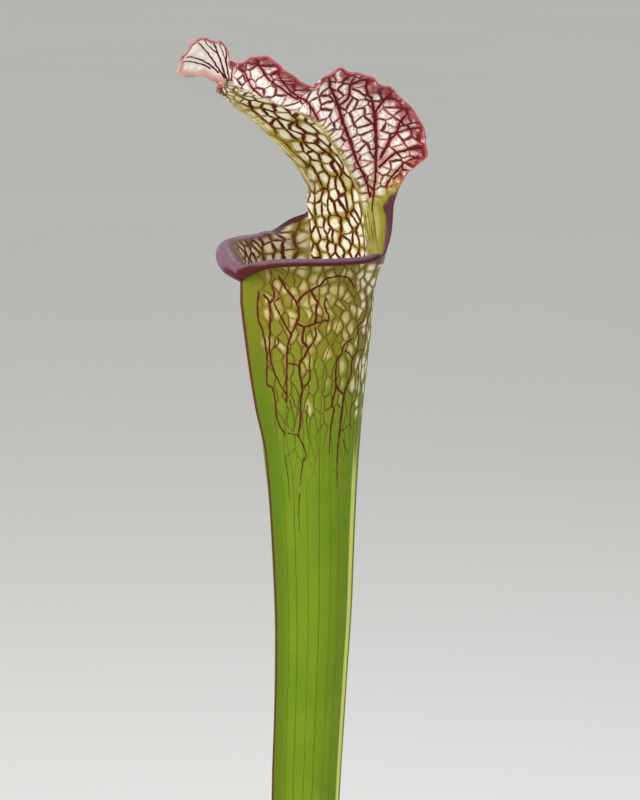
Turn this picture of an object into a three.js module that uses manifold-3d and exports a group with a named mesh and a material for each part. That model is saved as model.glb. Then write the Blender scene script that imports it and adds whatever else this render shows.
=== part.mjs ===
// A pitcher plant in a round nursery pot. Millimetres, +Z up, origin at the centre of the pot's base.
// The main pitcher's mouth looks towards -Y. One trumpet leaf stands over a few short leaves.
import * as THREE from 'three';
import { mergeVertices } from 'three/addons/utils/BufferGeometryUtils.js';
import Module from 'manifold-3d';

const wasm = await Module();
wasm.setup();

// ---- driving dimensions ----

const CLEARANCE = 0.35;           // gap between pieces that touch

const POT_HEIGHT = 120;
const POT_TOP_RADIUS = 62.5;      // outside, under the rim band
const POT_BASE_RADIUS = 46;
const POT_WALL = 1.6;
const POT_FLOOR = 2.4;
const RIM_BAND_RADIUS = 65;
const RIM_BAND_HEIGHT = 14;
const DRAIN_HOLES = 8;
const DRAIN_RADIUS = 4.5;
const DRAIN_CIRCLE = 37;
const POT_SIDES = 64;
const HOLE_SIDES = 16;
const BASE_CHAMFER = 1;
const RIM_CHAMFER = 0.8;

const MIX_TOP = 106;              // level of the potting mix at the wall
const MIX_DOME = 1.5;             // how much higher it is round the crown
const MIX_DOME_SPREAD = 26;
const MIX_BUMPS = 0.8;
const MIX_WAVES = {
  x: 0.31, xStart: 1.3, y: 0.27, yStart: -0.6, slantX: 0.13, slantY: -0.19, slantShare: 0.6,
};
const MIX_RINGS = 9;
const MIX_SIDES = 36;

const RHIZOME_CENTRE = new THREE.Vector3(-4, 6, 100.5);
const RHIZOME_HALF = new THREE.Vector3(32, 10, 8);
const RHIZOME_SIDES = 28;
const RHIZOME_RINGS = 16;
const CROWN = new THREE.Vector3(0, 6, 108.8);     // foot of the main pitcher, on the rhizome

// Main pitcher, heights above the crown. The tube: height, offset of its centre to the front,
// radius, and how far the front wing's edge stands from the centre.
const TUBE = [
  [0, 2, 4.6, 5.2], [35, 2, 5.1, 6.3], [88, 1.6, 6.3, 8.4], [158, 0.7, 8.8, 11.9], [210, 0, 10.5, 14.7],
  [245, -1.2, 11.5, 16.4], [280, -3.1, 12.2, 16.6], [312, -4.3, 13.3, 17.7], [343, -4.2, 14.5, 19.6],
  [365, -3.4, 16.3, 21], [383, -3.1, 18, 25.5], [402.5, -2.8, 20.3, 29], [416.5, -2.4, 21.9, 30.8],
  [426, -1.9, 22.8, 31.8],
];
const TUBE_TOP = 420;             // last plain ring, just under the lip
const HOLLOW_FLOOR = 60;          // the trap is solid below this
const WALL = 1.2;
const RIM_WALL = 0.8;             // the lip and the hood's tip are thinner
const WING_SPREAD = 60;           // degrees to each side of the wing's edge
const WING_SHARPNESS = 3.2;
const MAIN_POCKET_RADIUS = 6.2;   // hollow in the mix round the pitcher's foot
const MAIN_POCKET_HEIGHT = 20;
const MAIN_POCKET_SIDES = 24;

// Lip: degrees from the front, radius of its outer edge, height of its crest.
const LIP = [
  [0, 30.8, 432.2], [14, 30.8, 434.6], [30, 30.6, 436.4], [50, 30.4, 437], [93, 30.6, 437],
  [110, 30.8, 438.2], [121, 30.8, 442], [130, 30.6, 450.4],
];
const NECK_ANGLE = 130;           // the lip ends here and the hood's margin begins
const LIP_TILT = 1;               // the lip is this much lower at +X and higher at -X
const ROLL_RADIUS = 1.15;         // rolled edge of the lip
const SPOUT_ROLL = 2.3;           // extra roll radius at the spout
const SPOUT_ANGLE = -28;
const SPOUT_SPREAD = 34;
const ROLL_STRETCH = 1.25;
const ROLL_SWEEP = 200;
const ROLL_SWEEP_AT_WING = 110;
const ROLL_SWEEP_AT_NECK = 50;
const ROLL_GROWS = [8, 24];       // degrees over which the sweep grows from the wing's to the full one
const ROLL_FADES = [62, 104];     // degrees over which it goes down to the neck's
const FLARE_SHARE = 0.55;         // share of the lip's rows below its crest
const FLARE_POWER = 2.2;
const NECK_BLEND_ANGLE = 96;

// Hood stations from the neck to the tip: fold line, margin on the +X side, depth of the channel
// behind the fold, and the -X margin as an offset from its fold. Points are (side, back, height).
const HOOD = [
  { fold: [14.5, 15.5, 447], margin: [24, 19.5, 451], depth: 5.9, far: [6.3, 9.8, 3.5] },
  { fold: [13.5, 14.5, 454.5], margin: [30, 20.5, 463], depth: 7, far: [11.9, 16.1, 7.7] },
  { fold: [14, 10.5, 462], margin: [38, 22, 470], depth: 7.7, far: [17.5, 21, 11.2] },
  { fold: [15.5, 5, 468.5], margin: [39, 18.5, 481.5], depth: 7.7, far: [20.3, 19.6, 16.1] },
  { fold: [17, -1.5, 475], margin: [37, 9.5, 491.5], depth: 7.3, far: [20.3, 12.6, 18.9] },
  { fold: [18, -8.5, 481], margin: [33.5, -1.5, 498], depth: 7, far: [17.5, 5.6, 18.2] },
  { fold: [17.5, -15.5, 485], margin: [30, -11.5, 500.5], depth: 6.3, far: [14.7, 1.4, 14] },
  { fold: [14.5, -20.5, 487.5], margin: [22.5, -17, 495], depth: 5.2, far: [9.8, 1.4, 8.4] },
  { fold: [11, -26.5, 490.5], margin: [20.5, -25.5, 500], depth: 4.2, far: [5.6, 1.4, 1.4] },
  { fold: [7, -31, 493], margin: [16, -32.5, 505.5], depth: 2.8, far: [3.1, 1, -1.8] },
  { fold: [4.5, -33.5, 495], margin: [9.5, -35, 503.5], depth: 1, far: [2.1, 0.7, -2.1] },
];
// Fan at the tip, twisted so that its +X half stands up: centre, reach of each half, degrees.
const TIP_FAN = [
  { centre: [0, -35, 497.5], up: 5, down: 3.4, twist: 50 },
  { centre: [0, -39, 501], up: 8.4, down: 4.9, twist: 62 },
  { centre: [0, -44.5, 503.5], up: 8, down: 5.9, twist: 66 },
  { centre: [0, -51, 504], up: 7, down: 6.3, twist: 66 },
  { centre: [0, -55.5, 503], up: 2.8, down: 3.5, twist: 66 },
];
const HOOD_ANGLES = [180, 162, 138, 134, NECK_ANGLE];   // where the net's columns meet the tube
const HOOD_START = 14;            // the net begins this far below the tube's last ring
const CHANNEL_WIDTH_SHARE = 0.62; // where the channel's wall stands between midrib and fold
const CHANNEL_DEPTH_SHARE = 0.7;
const NEAR_BULGE = 0.1;           // swell of the +X flange, as a share of its width
const FAR_BULGE = -0.06;

// Rows and columns of the leaf's skin.
const TUBE_ROWS = [0, 28, 60, 100, 140, 180, 220, 260, 300, 335, 365, 390, 407];
const LIP_COLUMNS = [0, 4, 9, 16, 26, 38, 52, 66, 78, 88, 96, 103, 110, 117, 124];
const LIP_ROWS = [0, 0.2, 0.38, 0.48, 0.55, 0.7, 0.85, 1];
const HOOD_COLUMNS = 22;
const HOOD_ROWS = 26;
const LEAF_RINGS = 12;

// Short leaves round the crown: place, height, how far the top leans, half width and half depth.
const YOUNG_PITCHER = { x: -13, y: 8, height: 196, lean: [-16, 10], width: 7.5, depth: 6.5 };
const PITCHER_BUD = { x: 11.5, y: 5, height: 92, lean: [7, -3], width: 4.4, depth: 3 };
const FLAT_LEAVES = [
  { x: -21, y: 4, height: 168, lean: [-30, -14], width: 6.5, depth: 0.9 },
  { x: 18, y: 9.5, height: 186, lean: [24, 18], width: 7, depth: 0.9 },
  { x: 4, y: 14.5, height: 138, lean: [6, 28], width: 6, depth: 0.9 },
];
const OLD_BASES = [
  { x: -29, y: 8, height: 34, lean: [-6, 2], width: 4.6, depth: 2.6 },
  { x: -10, y: -1.5, height: 27, lean: [-3, -7], width: 4.2, depth: 2.4 },
];
// Outlines of the short leaves: share of the height, share of the width, depth in half depths.
const YOUNG_OUTLINE = [
  [0, 0.45, 0.5], [0.25, 0.5, 0.55], [0.55, 0.72, 0.78], [0.78, 1, 1], [0.87, 1, 0.85],
  [0.93, 0.8, 0.55], [0.98, 0.42, 0.3], [1, 0.15, 0.15],
];
const BUD_OUTLINE = [[0, 0.75, 0.8], [0.3, 0.95, 1], [0.6, 1, 0.9], [0.85, 0.65, 0.55], [1, 0.12, 0.15]];
const SWORD_OUTLINE = [
  [0, 0.5, 2.4], [0.08, 0.45, 1.6], [0.3, 0.8, 1], [0.58, 1, 1], [0.8, 0.8, 0.9], [0.94, 0.4, 0.8],
  [1, 0.08, 0.7],
];
const STUMP_OUTLINE = [[0, 0.9, 1], [0.5, 1, 0.9], [1, 1.05, 0.75]];
const LEAF_SIDES = 12;
const POCKET_MARGIN = 8;          // the mix is cut round a leaf up to this far above its level

const ROOT_RADIUS = 1.1;
const ROOT_SIDES = 8;
const ROOT_STEPS = 12;
const ROOT_BEARINGS = [20, 75, 140, 200, 255, 320];     // degrees round the rhizome
const ROOT_SPREAD = 30;           // distance of a root's tip from the pot's axis
const ROOT_TIP_HEIGHTS = [24, 38, 20, 42, 28, 34];
const ROOT_START = { outward: 0.8, downward: 0.6 };     // where on the rhizome a root begins
const ROOT_GAP = 0.4;             // share of its radius by which a root's end stands off the rhizome
const ROOT_FIRST_STEP = 7;        // it leaves the rhizome straight for this far
const ROOT_BEND = 4;              // outward bend halfway along

// ---- small helpers ----

const radians = THREE.MathUtils.degToRad;
const smoothstep = THREE.MathUtils.smoothstep;

/** Value at x of the smooth monotone curve through rows of [x, y0, y1, ...], column by column. */
function monotone(rows, column, x) {
  const last = rows.length - 1;
  const clamped = Math.min(Math.max(x, rows[0][0]), rows[last][0]);
  let i = 0;
  while (i < last - 1 && clamped > rows[i + 1][0]) i += 1;
  const slope = (k) => (rows[k + 1][column] - rows[k][column]) / (rows[k + 1][0] - rows[k][0]);
  const tangent = (k) => {
    if (k === 0) return slope(0);
    if (k === last) return slope(last - 1);
    const [before, after] = [slope(k - 1), slope(k)];
    return before * after > 0 ? (2 * before * after) / (before + after) : 0;
  };
  const span = rows[i + 1][0] - rows[i][0];
  const u = (clamped - rows[i][0]) / span;
  return rows[i][column] * (1 + 2 * u) * (1 - u) ** 2
    + span * tangent(i) * u * (1 - u) ** 2
    + rows[i + 1][column] * u * u * (3 - 2 * u)
    + span * tangent(i + 1) * u * u * (u - 1);
}

/** Point at parameter t (knots at whole numbers) of the Catmull-Rom curve through points. */
function throughPoints(points, t) {
  const last = points.length - 1;
  const i = Math.min(Math.floor(t), last - 1);
  const u = t - i;
  const [b, c] = [points[i], points[i + 1]];
  const a = i > 0 ? points[i - 1] : b.clone().multiplyScalar(2).sub(c);
  const d = i + 2 <= last ? points[i + 2] : c.clone().multiplyScalar(2).sub(b);
  const [square, cube] = [u ** 2, u ** 3];
  const weights = [
    -u + 2 * square - cube, 2 - 5 * square + 3 * cube, u + 4 * square - 3 * cube, cube - square,
  ];
  const point = new THREE.Vector3();
  [a, b, c, d].forEach((knot, k) => point.addScaledVector(knot, weights[k] / 2));
  return point;
}

/** A closed geometry from vertices and faces, with its faces turned outwards. */
function closedGeometry(vertices, faces) {
  let volume = 0;
  for (const [a, b, c] of faces) {
    volume += vertices[a].dot(new THREE.Vector3().crossVectors(vertices[b], vertices[c]));
  }
  const geometry = new THREE.BufferGeometry();
  geometry.setFromPoints(vertices);
  geometry.setIndex(faces.flatMap(([a, b, c]) => (volume > 0 ? [a, b, c] : [a, c, b])));
  return geometry;
}

/** The bare merged positions of a geometry, its faces turned outwards. */
function outward(geometry) {
  const bare = geometry.index ? geometry : mergeVertices(geometry);
  bare.deleteAttribute('normal');
  bare.deleteAttribute('uv');
  const merged = mergeVertices(bare, 1e-4);
  const position = merged.getAttribute('position');
  const vertices = [];
  for (let i = 0; i < position.count; i += 1) {
    vertices.push(new THREE.Vector3().fromBufferAttribute(position, i));
  }
  const index = merged.index.array;
  const faces = [];
  for (let i = 0; i < index.length; i += 3) {
    const face = [index[i], index[i + 1], index[i + 2]];
    if (new Set(face).size === 3) faces.push(face);
  }
  return closedGeometry(vertices, faces);
}

function toSolid(geometry) {
  const vertProperties = new Float32Array(geometry.getAttribute('position').array);
  const triVerts = new Uint32Array(geometry.index.array);
  return new wasm.Manifold(new wasm.Mesh({ numProp: 3, vertProperties, triVerts }));
}

function fromSolid(solid) {
  const mesh = solid.getMesh();
  const geometry = new THREE.BufferGeometry();
  geometry.setAttribute('position', new THREE.BufferAttribute(mesh.vertProperties, 3));
  geometry.setIndex(new THREE.BufferAttribute(mesh.triVerts, 1));
  return geometry;
}

function middleOf(points) {
  const middle = new THREE.Vector3();
  points.forEach((point) => middle.addScaledVector(point, 1 / points.length));
  return middle;
}

/** A closed skin over rings of points, with a flat end at each side. */
function loft(rings) {
  const sides = rings[0].length;
  const vertices = rings.flat();
  const faces = [];
  for (let r = 0; r + 1 < rings.length; r += 1) {
    for (let k = 0; k < sides; k += 1) {
      const [a, b] = [r * sides + k, r * sides + ((k + 1) % sides)];
      faces.push([a, b, b + sides], [a, b + sides, a + sides]);
    }
  }
  for (const [r, flip] of [[0, true], [rings.length - 1, false]]) {
    const middle = vertices.push(middleOf(rings[r])) - 1;
    for (let k = 0; k < sides; k += 1) {
      const [a, b] = [r * sides + k, r * sides + ((k + 1) % sides)];
      faces.push(flip ? [middle, b, a] : [middle, a, b]);
    }
  }
  return closedGeometry(vertices, faces);
}

/** Smooth rise and fall of the potting mix's surface. */
function mixLevel(x, y) {
  const fromCrown = Math.hypot(x - CROWN.x, y - CROWN.y);
  const { x: perX, xStart, y: perY, yStart, slantX, slantY, slantShare } = MIX_WAVES;
  const crossed = Math.sin(x * perX + xStart) * Math.cos(y * perY + yStart);
  const bumps = crossed + slantShare * Math.sin(x * slantX + y * slantY);
  return MIX_TOP + MIX_DOME * Math.exp(-((fromCrown / MIX_DOME_SPREAD) ** 2)) + MIX_BUMPS * bumps;
}

// ---- main pitcher ----

/** Point on the tube's skin: height above the crown and degrees from the front, +X side positive. */
function tubePoint(height, angle, withWing) {
  const offset = monotone(TUBE, 1, height);
  const radius = monotone(TUBE, 2, height);
  const wing = monotone(TUBE, 3, height) - radius;
  const shape = Math.max(0, 1 - Math.abs(angle) / WING_SPREAD) ** WING_SHARPNESS;
  const reach = radius + (withWing ? wing * shape : 0);
  const a = radians(angle);
  return new THREE.Vector3(reach * Math.sin(a), -offset - reach * Math.cos(a), height);
}

/** Control net of one half of the hood: stations by five points, from the midrib to the margin. */
function hoodNet(side) {
  const net = [TUBE_TOP - HOOD_START, TUBE_TOP].map(
    (height) => HOOD_ANGLES.map((angle) => tubePoint(height, angle * side, false)));
  HOOD.forEach((station, i) => {
    const before = HOOD[Math.max(i - 1, 0)].fold;
    const after = HOOD[Math.min(i + 1, HOOD.length - 1)].fold;
    const along = new THREE.Vector3(0, after[1] - before[1], after[2] - before[2]).normalize();
    const back = new THREE.Vector3(0, along.z, -along.y);
    const [x, y, z] = station.fold;
    const fold = new THREE.Vector3(x, y, z);
    const margin = side > 0
      ? new THREE.Vector3(...station.margin)
      : fold.clone().add(new THREE.Vector3(...station.far));
    const midrib = new THREE.Vector3(0, y, z).addScaledVector(back, station.depth);
    const channel = new THREE.Vector3(x * CHANNEL_WIDTH_SHARE, y, z);
    channel.addScaledVector(back, station.depth * CHANNEL_DEPTH_SHARE);
    const across = margin.clone().sub(fold);
    const bulge = new THREE.Vector3().crossVectors(along, across).normalize();
    const flange = fold.clone().add(margin).multiplyScalar(0.5);
    flange.addScaledVector(bulge, (side > 0 ? NEAR_BULGE : FAR_BULGE) * across.length());
    const mirror = new THREE.Vector3(side, 1, 1);
    net.push([midrib, channel, fold, flange, margin].map((point) => point.multiply(mirror)));
  });
  for (const { centre, up, down, twist } of TIP_FAN) {
    const reach = side > 0 ? up : -down;
    const across = new THREE.Vector3(Math.cos(radians(twist)), 0, Math.sin(radians(twist)));
    across.multiplyScalar(reach);
    net.push([0, 0.25, 0.5, 0.75, 1].map((w) => new THREE.Vector3(...centre).addScaledVector(across, w)));
  }
  return net;
}

const HOOD_NETS = { 1: hoodNet(1), '-1': hoodNet(-1) };
const STATIONS = HOOD_NETS[1].length - 1;

/** Point of the hood at a station (1 is the tube's last ring, 2 the neck) and place across, -1 to 1. */
function hoodPoint(station, across) {
  const side = across < 0 ? -1 : 1;
  const column = [0, 1, 2, 3, 4].map((k) => throughPoints(HOOD_NETS[side].map((row) => row[k]), station));
  const opposite = throughPoints(HOOD_NETS[-side].map((row) => row[1]), station);
  return throughPoints([opposite, ...column], 1 + Math.abs(across) * 4);
}

/** The lip before it runs into the neck: t from the tube's last ring (0) round the roll (1). */
function lipCurve(angle, t, withWing) {
  const turned = Math.abs(angle);
  const edge = monotone(LIP, 1, turned);
  const crestHeight = monotone(LIP, 2, turned) - LIP_TILT * Math.sin(radians(angle));
  const roll = ROLL_RADIUS + SPOUT_ROLL * Math.exp(-(((angle - SPOUT_ANGLE) / SPOUT_SPREAD) ** 2));
  const start = tubePoint(TUBE_TOP, angle, withWing);
  const startRadius = Math.hypot(start.x, start.y);
  const crest = edge - roll;
  const u = Math.min(t / FLARE_SHARE, 1);
  let radius = startRadius + (crest - startRadius) * (1 - Math.sqrt(1 - u ** FLARE_POWER));
  let height = TUBE_TOP + (crestHeight - TUBE_TOP) * u;
  if (t > FLARE_SHARE) {
    const fullSweep = THREE.MathUtils.lerp(ROLL_SWEEP_AT_WING, ROLL_SWEEP, smoothstep(turned, ...ROLL_GROWS));
    const sweep = THREE.MathUtils.lerp(fullSweep, ROLL_SWEEP_AT_NECK, smoothstep(turned, ...ROLL_FADES));
    const turn = radians(sweep) * ((t - FLARE_SHARE) / (1 - FLARE_SHARE));
    radius = crest + roll * Math.sin(turn);
    height = crestHeight - ROLL_STRETCH * roll * (1 - Math.cos(turn));
  }
  const a = radians(angle);
  return new THREE.Vector3(radius * Math.sin(a), -radius * Math.cos(a), height);
}

/** The lip's skin: near the neck it turns into the hood's margin. */
function lipPoint(angle, t, withWing) {
  const side = Math.sign(angle);
  const point = lipCurve(angle, t, withWing);
  const blend = smoothstep(Math.abs(angle), NECK_BLEND_ANGLE, NECK_ANGLE);
  if (blend > 0) {
    const change = hoodPoint(1 + t, side).sub(lipCurve(side * NECK_ANGLE, t, withWing));
    point.addScaledVector(change, blend);
  }
  return point;
}

/** Even steps from a to b, both ends included. */
function steps(a, b, count) {
  return Array.from({ length: count + 1 }, (_, i) => a + ((b - a) * i) / count);
}

/** Angle on the tube of a place across the hood, 0 at the midrib to 1 at the margin. */
function backAngle(across) {
  const knots = HOOD_ANGLES.map((angle) => new THREE.Vector3(angle, 0, 0));
  return throughPoints(knots, across * 4).x;
}

/** The leaf's skin: closed rings up to the lip, then open rows across the hood. */
function leafSkin(withWing) {
  const nearLip = LIP_COLUMNS;
  const farLip = LIP_COLUMNS.slice(1).reverse().map((angle) => -angle);
  const across = steps(1, -1, HOOD_COLUMNS);
  const back = across.map((w) => (w >= 0 ? backAngle(w) : -backAngle(-w)));
  const tubeRows = TUBE_ROWS.map(
    (height) => [...nearLip, ...back, ...farLip].map((angle) => tubePoint(height, angle, withWing)));
  const lipRows = LIP_ROWS.map((t) => [
    ...nearLip.map((angle) => lipPoint(angle, t, withWing)),
    ...across.map((w) => hoodPoint(1 + t, w)),
    ...farLip.map((angle) => lipPoint(angle, t, withWing)),
  ]);
  const hoodStations = steps(2, STATIONS, HOOD_ROWS).slice(1);
  return {
    rings: [...tubeRows, ...lipRows],
    hood: hoodStations.map((station) => across.map((w) => hoodPoint(station, w))),
  };
}

/** Faces of the skin, outward, and the numbers of its first ring and of the ring at the floor. */
function skinFaces(rings, hood) {
  const columns = rings[0].length;
  const faces = [];
  for (let r = 0; r + 1 < rings.length; r += 1) {
    for (let c = 0; c < columns; c += 1) {
      const [a, b] = [r * columns + c, r * columns + ((c + 1) % columns)];
      faces.push([a, b, b + columns], [a, b + columns, a + columns]);
    }
  }
  const width = HOOD_COLUMNS + 1;
  const hoodStart = rings.length * columns;
  const number = (r, c) => (r < 0
    ? (rings.length - 1) * columns + LIP_COLUMNS.length + c
    : hoodStart + r * width + c);
  for (let r = -1; r + 1 < hood.length; r += 1) {
    for (let c = 0; c + 1 < width; c += 1) {
      const [a, b, d, e] = [number(r, c), number(r, c + 1), number(r + 1, c + 1), number(r + 1, c)];
      faces.push([a, b, d], [a, d, e]);
    }
  }
  return faces;
}

/** Wall thickness at each point of the skin. */
function wallThickness(rings, hood) {
  const lerp = THREE.MathUtils.lerp;
  const ringWalls = rings.map((ring, r) => {
    const lipStep = LIP_ROWS[Math.max(0, r - TUBE_ROWS.length)];
    return ring.map(() => lerp(WALL, RIM_WALL, Math.min(1, lipStep / FLARE_SHARE)));
  });
  const hoodWalls = hood.map((row) => row.map(() => RIM_WALL));
  return [...ringWalls, ...hoodWalls].flat();
}

/** Skin points moved along the skin's normal, each by its own distance. */
function moved(points, faces, distances) {
  const normals = points.map(() => new THREE.Vector3());
  for (const [a, b, c] of faces) {
    const normal = new THREE.Vector3().crossVectors(
      points[b].clone().sub(points[a]), points[c].clone().sub(points[a]));
    [a, b, c].forEach((i) => normals[i].add(normal));
  }
  return points.map((point, i) => point.clone().addScaledVector(normals[i].normalize(), distances[i]));
}

function mainPitcher() {
  const winged = leafSkin(true);
  const round = leafSkin(false);
  const columns = winged.rings[0].length;
  const faces = skinFaces(winged.rings, winged.hood);
  const half = wallThickness(winged.rings, winged.hood).map((wall) => wall / 2);
  const outer = moved([...winged.rings, ...winged.hood].flat(), faces, half);
  const inner = moved([...round.rings, ...round.hood].flat(), faces, half.map((wall) => -wall));
  const count = outer.length;
  const floorRow = TUBE_ROWS.indexOf(HOLLOW_FLOOR);
  const firstInner = floorRow * columns;
  outer.slice(0, columns).forEach((point) => { point.z = 0; });
  const foot = middleOf(outer.slice(0, columns));
  const floor = middleOf(inner.slice(firstInner, firstInner + columns));
  const vertices = [...outer, ...inner, foot, floor];
  const all = [...faces];
  for (const [a, b, c] of faces) {
    if (Math.min(a, b, c) >= firstInner) all.push([a + count, c + count, b + count]);
  }
  for (let c = 0; c < columns; c += 1) {
    const next = (c + 1) % columns;
    all.push([2 * count, next, c]);
    all.push([2 * count + 1, count + firstInner + c, count + firstInner + next]);
  }
  // close the rim between the two skins
  const directed = new Set(faces.flatMap(([a, b, c]) => [`${a},${b}`, `${b},${c}`, `${c},${a}`]));
  for (const [i, j, k] of faces) {
    for (const [a, b] of [[i, j], [j, k], [k, i]]) {
      const isRim = !directed.has(`${b},${a}`) && Math.max(a, b) >= columns;
      if (isRim) all.push([b, a, a + count], [b, a + count, b + count]);
    }
  }
  const used = new Map();
  const kept = [];
  const renumbered = all.map((face) => face.map((i) => {
    if (!used.has(i)) used.set(i, kept.push(vertices[i]) - 1);
    return used.get(i);
  }));
  return closedGeometry(kept, renumbered);
}

// ---- short leaves, rhizome and roots ----

/** Highest point of the rhizome under a round foot, plus the clearance. */
function seatHeight(x, y, reach) {
  const height = (dx, dy) => {
    const u = (x + dx - RHIZOME_CENTRE.x) / RHIZOME_HALF.x;
    const v = (y + dy - RHIZOME_CENTRE.y) / RHIZOME_HALF.y;
    return RHIZOME_CENTRE.z + RHIZOME_HALF.z * Math.sqrt(Math.max(0, 1 - u * u - v * v));
  };
  const offsets = [[0, 0], [reach, 0], [-reach, 0], [0, reach], [0, -reach]];
  return CLEARANCE + Math.max(...offsets.map(([dx, dy]) => height(dx, dy)));
}

/** Oval rings up a leaning leaf. extra widens them and upTo stops them early, for its pocket. */
function shortLeafRings({ x, y, height, lean, width, depth }, outline, extra = 0, upTo = 1) {
  const bottom = seatHeight(x, y, width * outline[0][1]);
  const heights = steps(0, upTo, upTo < 1 ? 2 : LEAF_RINGS);
  return heights.map((t) => {
    const halfWidth = width * monotone(outline, 1, t) + extra;
    const halfDepth = depth * monotone(outline, 2, t) + extra;
    const bend = t ** 2;
    const z = bottom + height * t - (t === 0 ? extra : 0);
    return steps(0, 360, LEAF_SIDES).slice(1).map((turn) => new THREE.Vector3(
      x + lean[0] * bend + halfWidth * Math.cos(radians(turn)),
      y + lean[1] * bend + halfDepth * Math.sin(radians(turn)),
      z));
  });
}

function rhizomeGeometry(extra = 0) {
  const sphere = new THREE.SphereGeometry(1, RHIZOME_SIDES, RHIZOME_RINGS);
  sphere.scale(RHIZOME_HALF.x + extra, RHIZOME_HALF.y + extra, RHIZOME_HALF.z + extra);
  sphere.translate(...RHIZOME_CENTRE);
  return outward(sphere);
}

/** A root's way from the rhizome's lower side out and down into the mix. */
function rootPath(index, extra = 0) {
  const bearing = radians(ROOT_BEARINGS[index]);
  const heading = new THREE.Vector3(Math.cos(bearing), Math.sin(bearing), 0);
  const down = new THREE.Vector3(0, 0, -1);
  const direction = heading.clone().multiplyScalar(ROOT_START.outward);
  direction.addScaledVector(down, ROOT_START.downward);
  const skin = direction.clone().multiply(RHIZOME_HALF);
  const normal = direction.clone().divide(RHIZOME_HALF).normalize();
  const gap = CLEARANCE + ROOT_RADIUS * ROOT_GAP - 2 * extra;
  const start = skin.add(RHIZOME_CENTRE).addScaledVector(normal, gap);
  const tip = heading.clone().multiplyScalar(ROOT_SPREAD);
  tip.z = ROOT_TIP_HEIGHTS[index];
  const first = start.clone().addScaledVector(normal, ROOT_FIRST_STEP + 2 * extra);
  const middle = first.clone().lerp(tip, 0.5).addScaledVector(heading, ROOT_BEND);
  const way = tip.clone().sub(middle).normalize();
  return new THREE.CatmullRomCurve3([start, first, middle, tip.addScaledVector(way, 2 * extra)]);
}

function rootGeometry(index, extra = 0) {
  const section = new THREE.Shape();
  section.absarc(0, 0, ROOT_RADIUS + extra, 0, Math.PI * 2);
  const options = { steps: ROOT_STEPS, curveSegments: ROOT_SIDES / 2, extrudePath: rootPath(index, extra) };
  return outward(new THREE.ExtrudeGeometry(section, options));
}

// ---- potting mix and pot ----

function potInnerRadius(height) {
  const outer = THREE.MathUtils.lerp(POT_BASE_RADIUS, POT_TOP_RADIUS, height / POT_HEIGHT);
  return outer - POT_WALL;
}

function pottingMix(leafPockets) {
  const bottom = POT_FLOOR + CLEARANCE;
  const lowRadius = potInnerRadius(bottom) - CLEARANCE;
  const highRadius = potInnerRadius(MIX_TOP) - CLEARANCE;
  const surface = steps(highRadius, 0, MIX_RINGS).map((radius) => new THREE.Vector2(radius, MIX_TOP));
  const profile = [new THREE.Vector2(0, bottom), new THREE.Vector2(lowRadius, bottom), ...surface];
  const plug = new THREE.LatheGeometry(profile, MIX_SIDES).rotateX(Math.PI / 2);
  const position = plug.getAttribute('position');
  for (let i = 0; i < position.count; i += 1) {
    const [x, y, z] = [position.getX(i), position.getY(i), position.getZ(i)];
    const isInsideTop = z > MIX_TOP - CLEARANCE && Math.hypot(x, y) < highRadius - CLEARANCE;
    if (isInsideTop) position.setZ(i, mixLevel(x, y));
  }
  let solid = toSolid(outward(plug)).subtract(toSolid(rhizomeGeometry(2 * CLEARANCE)));
  ROOT_BEARINGS.forEach((_, i) => { solid = solid.subtract(toSolid(rootGeometry(i, CLEARANCE))); });
  leafPockets.forEach((pocket) => { solid = solid.subtract(toSolid(pocket)); });
  return fromSolid(solid);
}

function potGeometry() {
  const bandBottom = POT_HEIGHT - RIM_BAND_HEIGHT;
  const wallRadius = (height) => potInnerRadius(height) + POT_WALL;
  const profile = [
    [0, 0], [POT_BASE_RADIUS - BASE_CHAMFER, 0], [POT_BASE_RADIUS, BASE_CHAMFER],
    [wallRadius(bandBottom), bandBottom], [RIM_BAND_RADIUS, bandBottom + RIM_CHAMFER],
    [RIM_BAND_RADIUS, POT_HEIGHT - RIM_CHAMFER], [RIM_BAND_RADIUS - RIM_CHAMFER, POT_HEIGHT],
    [potInnerRadius(POT_HEIGHT) + RIM_CHAMFER, POT_HEIGHT],
    [potInnerRadius(POT_HEIGHT), POT_HEIGHT - RIM_CHAMFER],
    [potInnerRadius(POT_FLOOR), POT_FLOOR], [0, POT_FLOOR],
  ].map(([x, y]) => new THREE.Vector2(x, y));
  const shell = new THREE.LatheGeometry(profile, POT_SIDES).rotateX(Math.PI / 2);
  let solid = toSolid(outward(shell));
  for (let i = 0; i < DRAIN_HOLES; i += 1) {
    const turn = ((i + 0.5) / DRAIN_HOLES) * Math.PI * 2;
    const hole = new THREE.CylinderGeometry(DRAIN_RADIUS, DRAIN_RADIUS, POT_FLOOR * 4, HOLE_SIDES);
    hole.rotateX(Math.PI / 2);
    hole.translate(DRAIN_CIRCLE * Math.cos(turn), DRAIN_CIRCLE * Math.sin(turn), 0);
    solid = solid.subtract(toSolid(outward(hole)));
  }
  return fromSolid(solid);
}

// ---- assembly ----

const material = (color, roughness) => new THREE.MeshStandardMaterial({ color, roughness, metalness: 0 });
const plant = new THREE.Group();

function addPiece(name, geometry, color, roughness = 0.6) {
  const piece = new THREE.Mesh(geometry, material(color, roughness));
  piece.name = name;
  plant.add(piece);
  return piece;
}

const pocketShare = (spec) => (MIX_TOP + POCKET_MARGIN - RHIZOME_CENTRE.z) / spec.height;
const mainPocket = new THREE.CylinderGeometry(
  MAIN_POCKET_RADIUS, MAIN_POCKET_RADIUS, MAIN_POCKET_HEIGHT, MAIN_POCKET_SIDES);
mainPocket.rotateX(Math.PI / 2);
mainPocket.translate(CROWN.x, CROWN.y - TUBE[0][1], CROWN.z + MAIN_POCKET_HEIGHT / 2 - 2 * CLEARANCE);
const pockets = [outward(mainPocket)];

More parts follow.
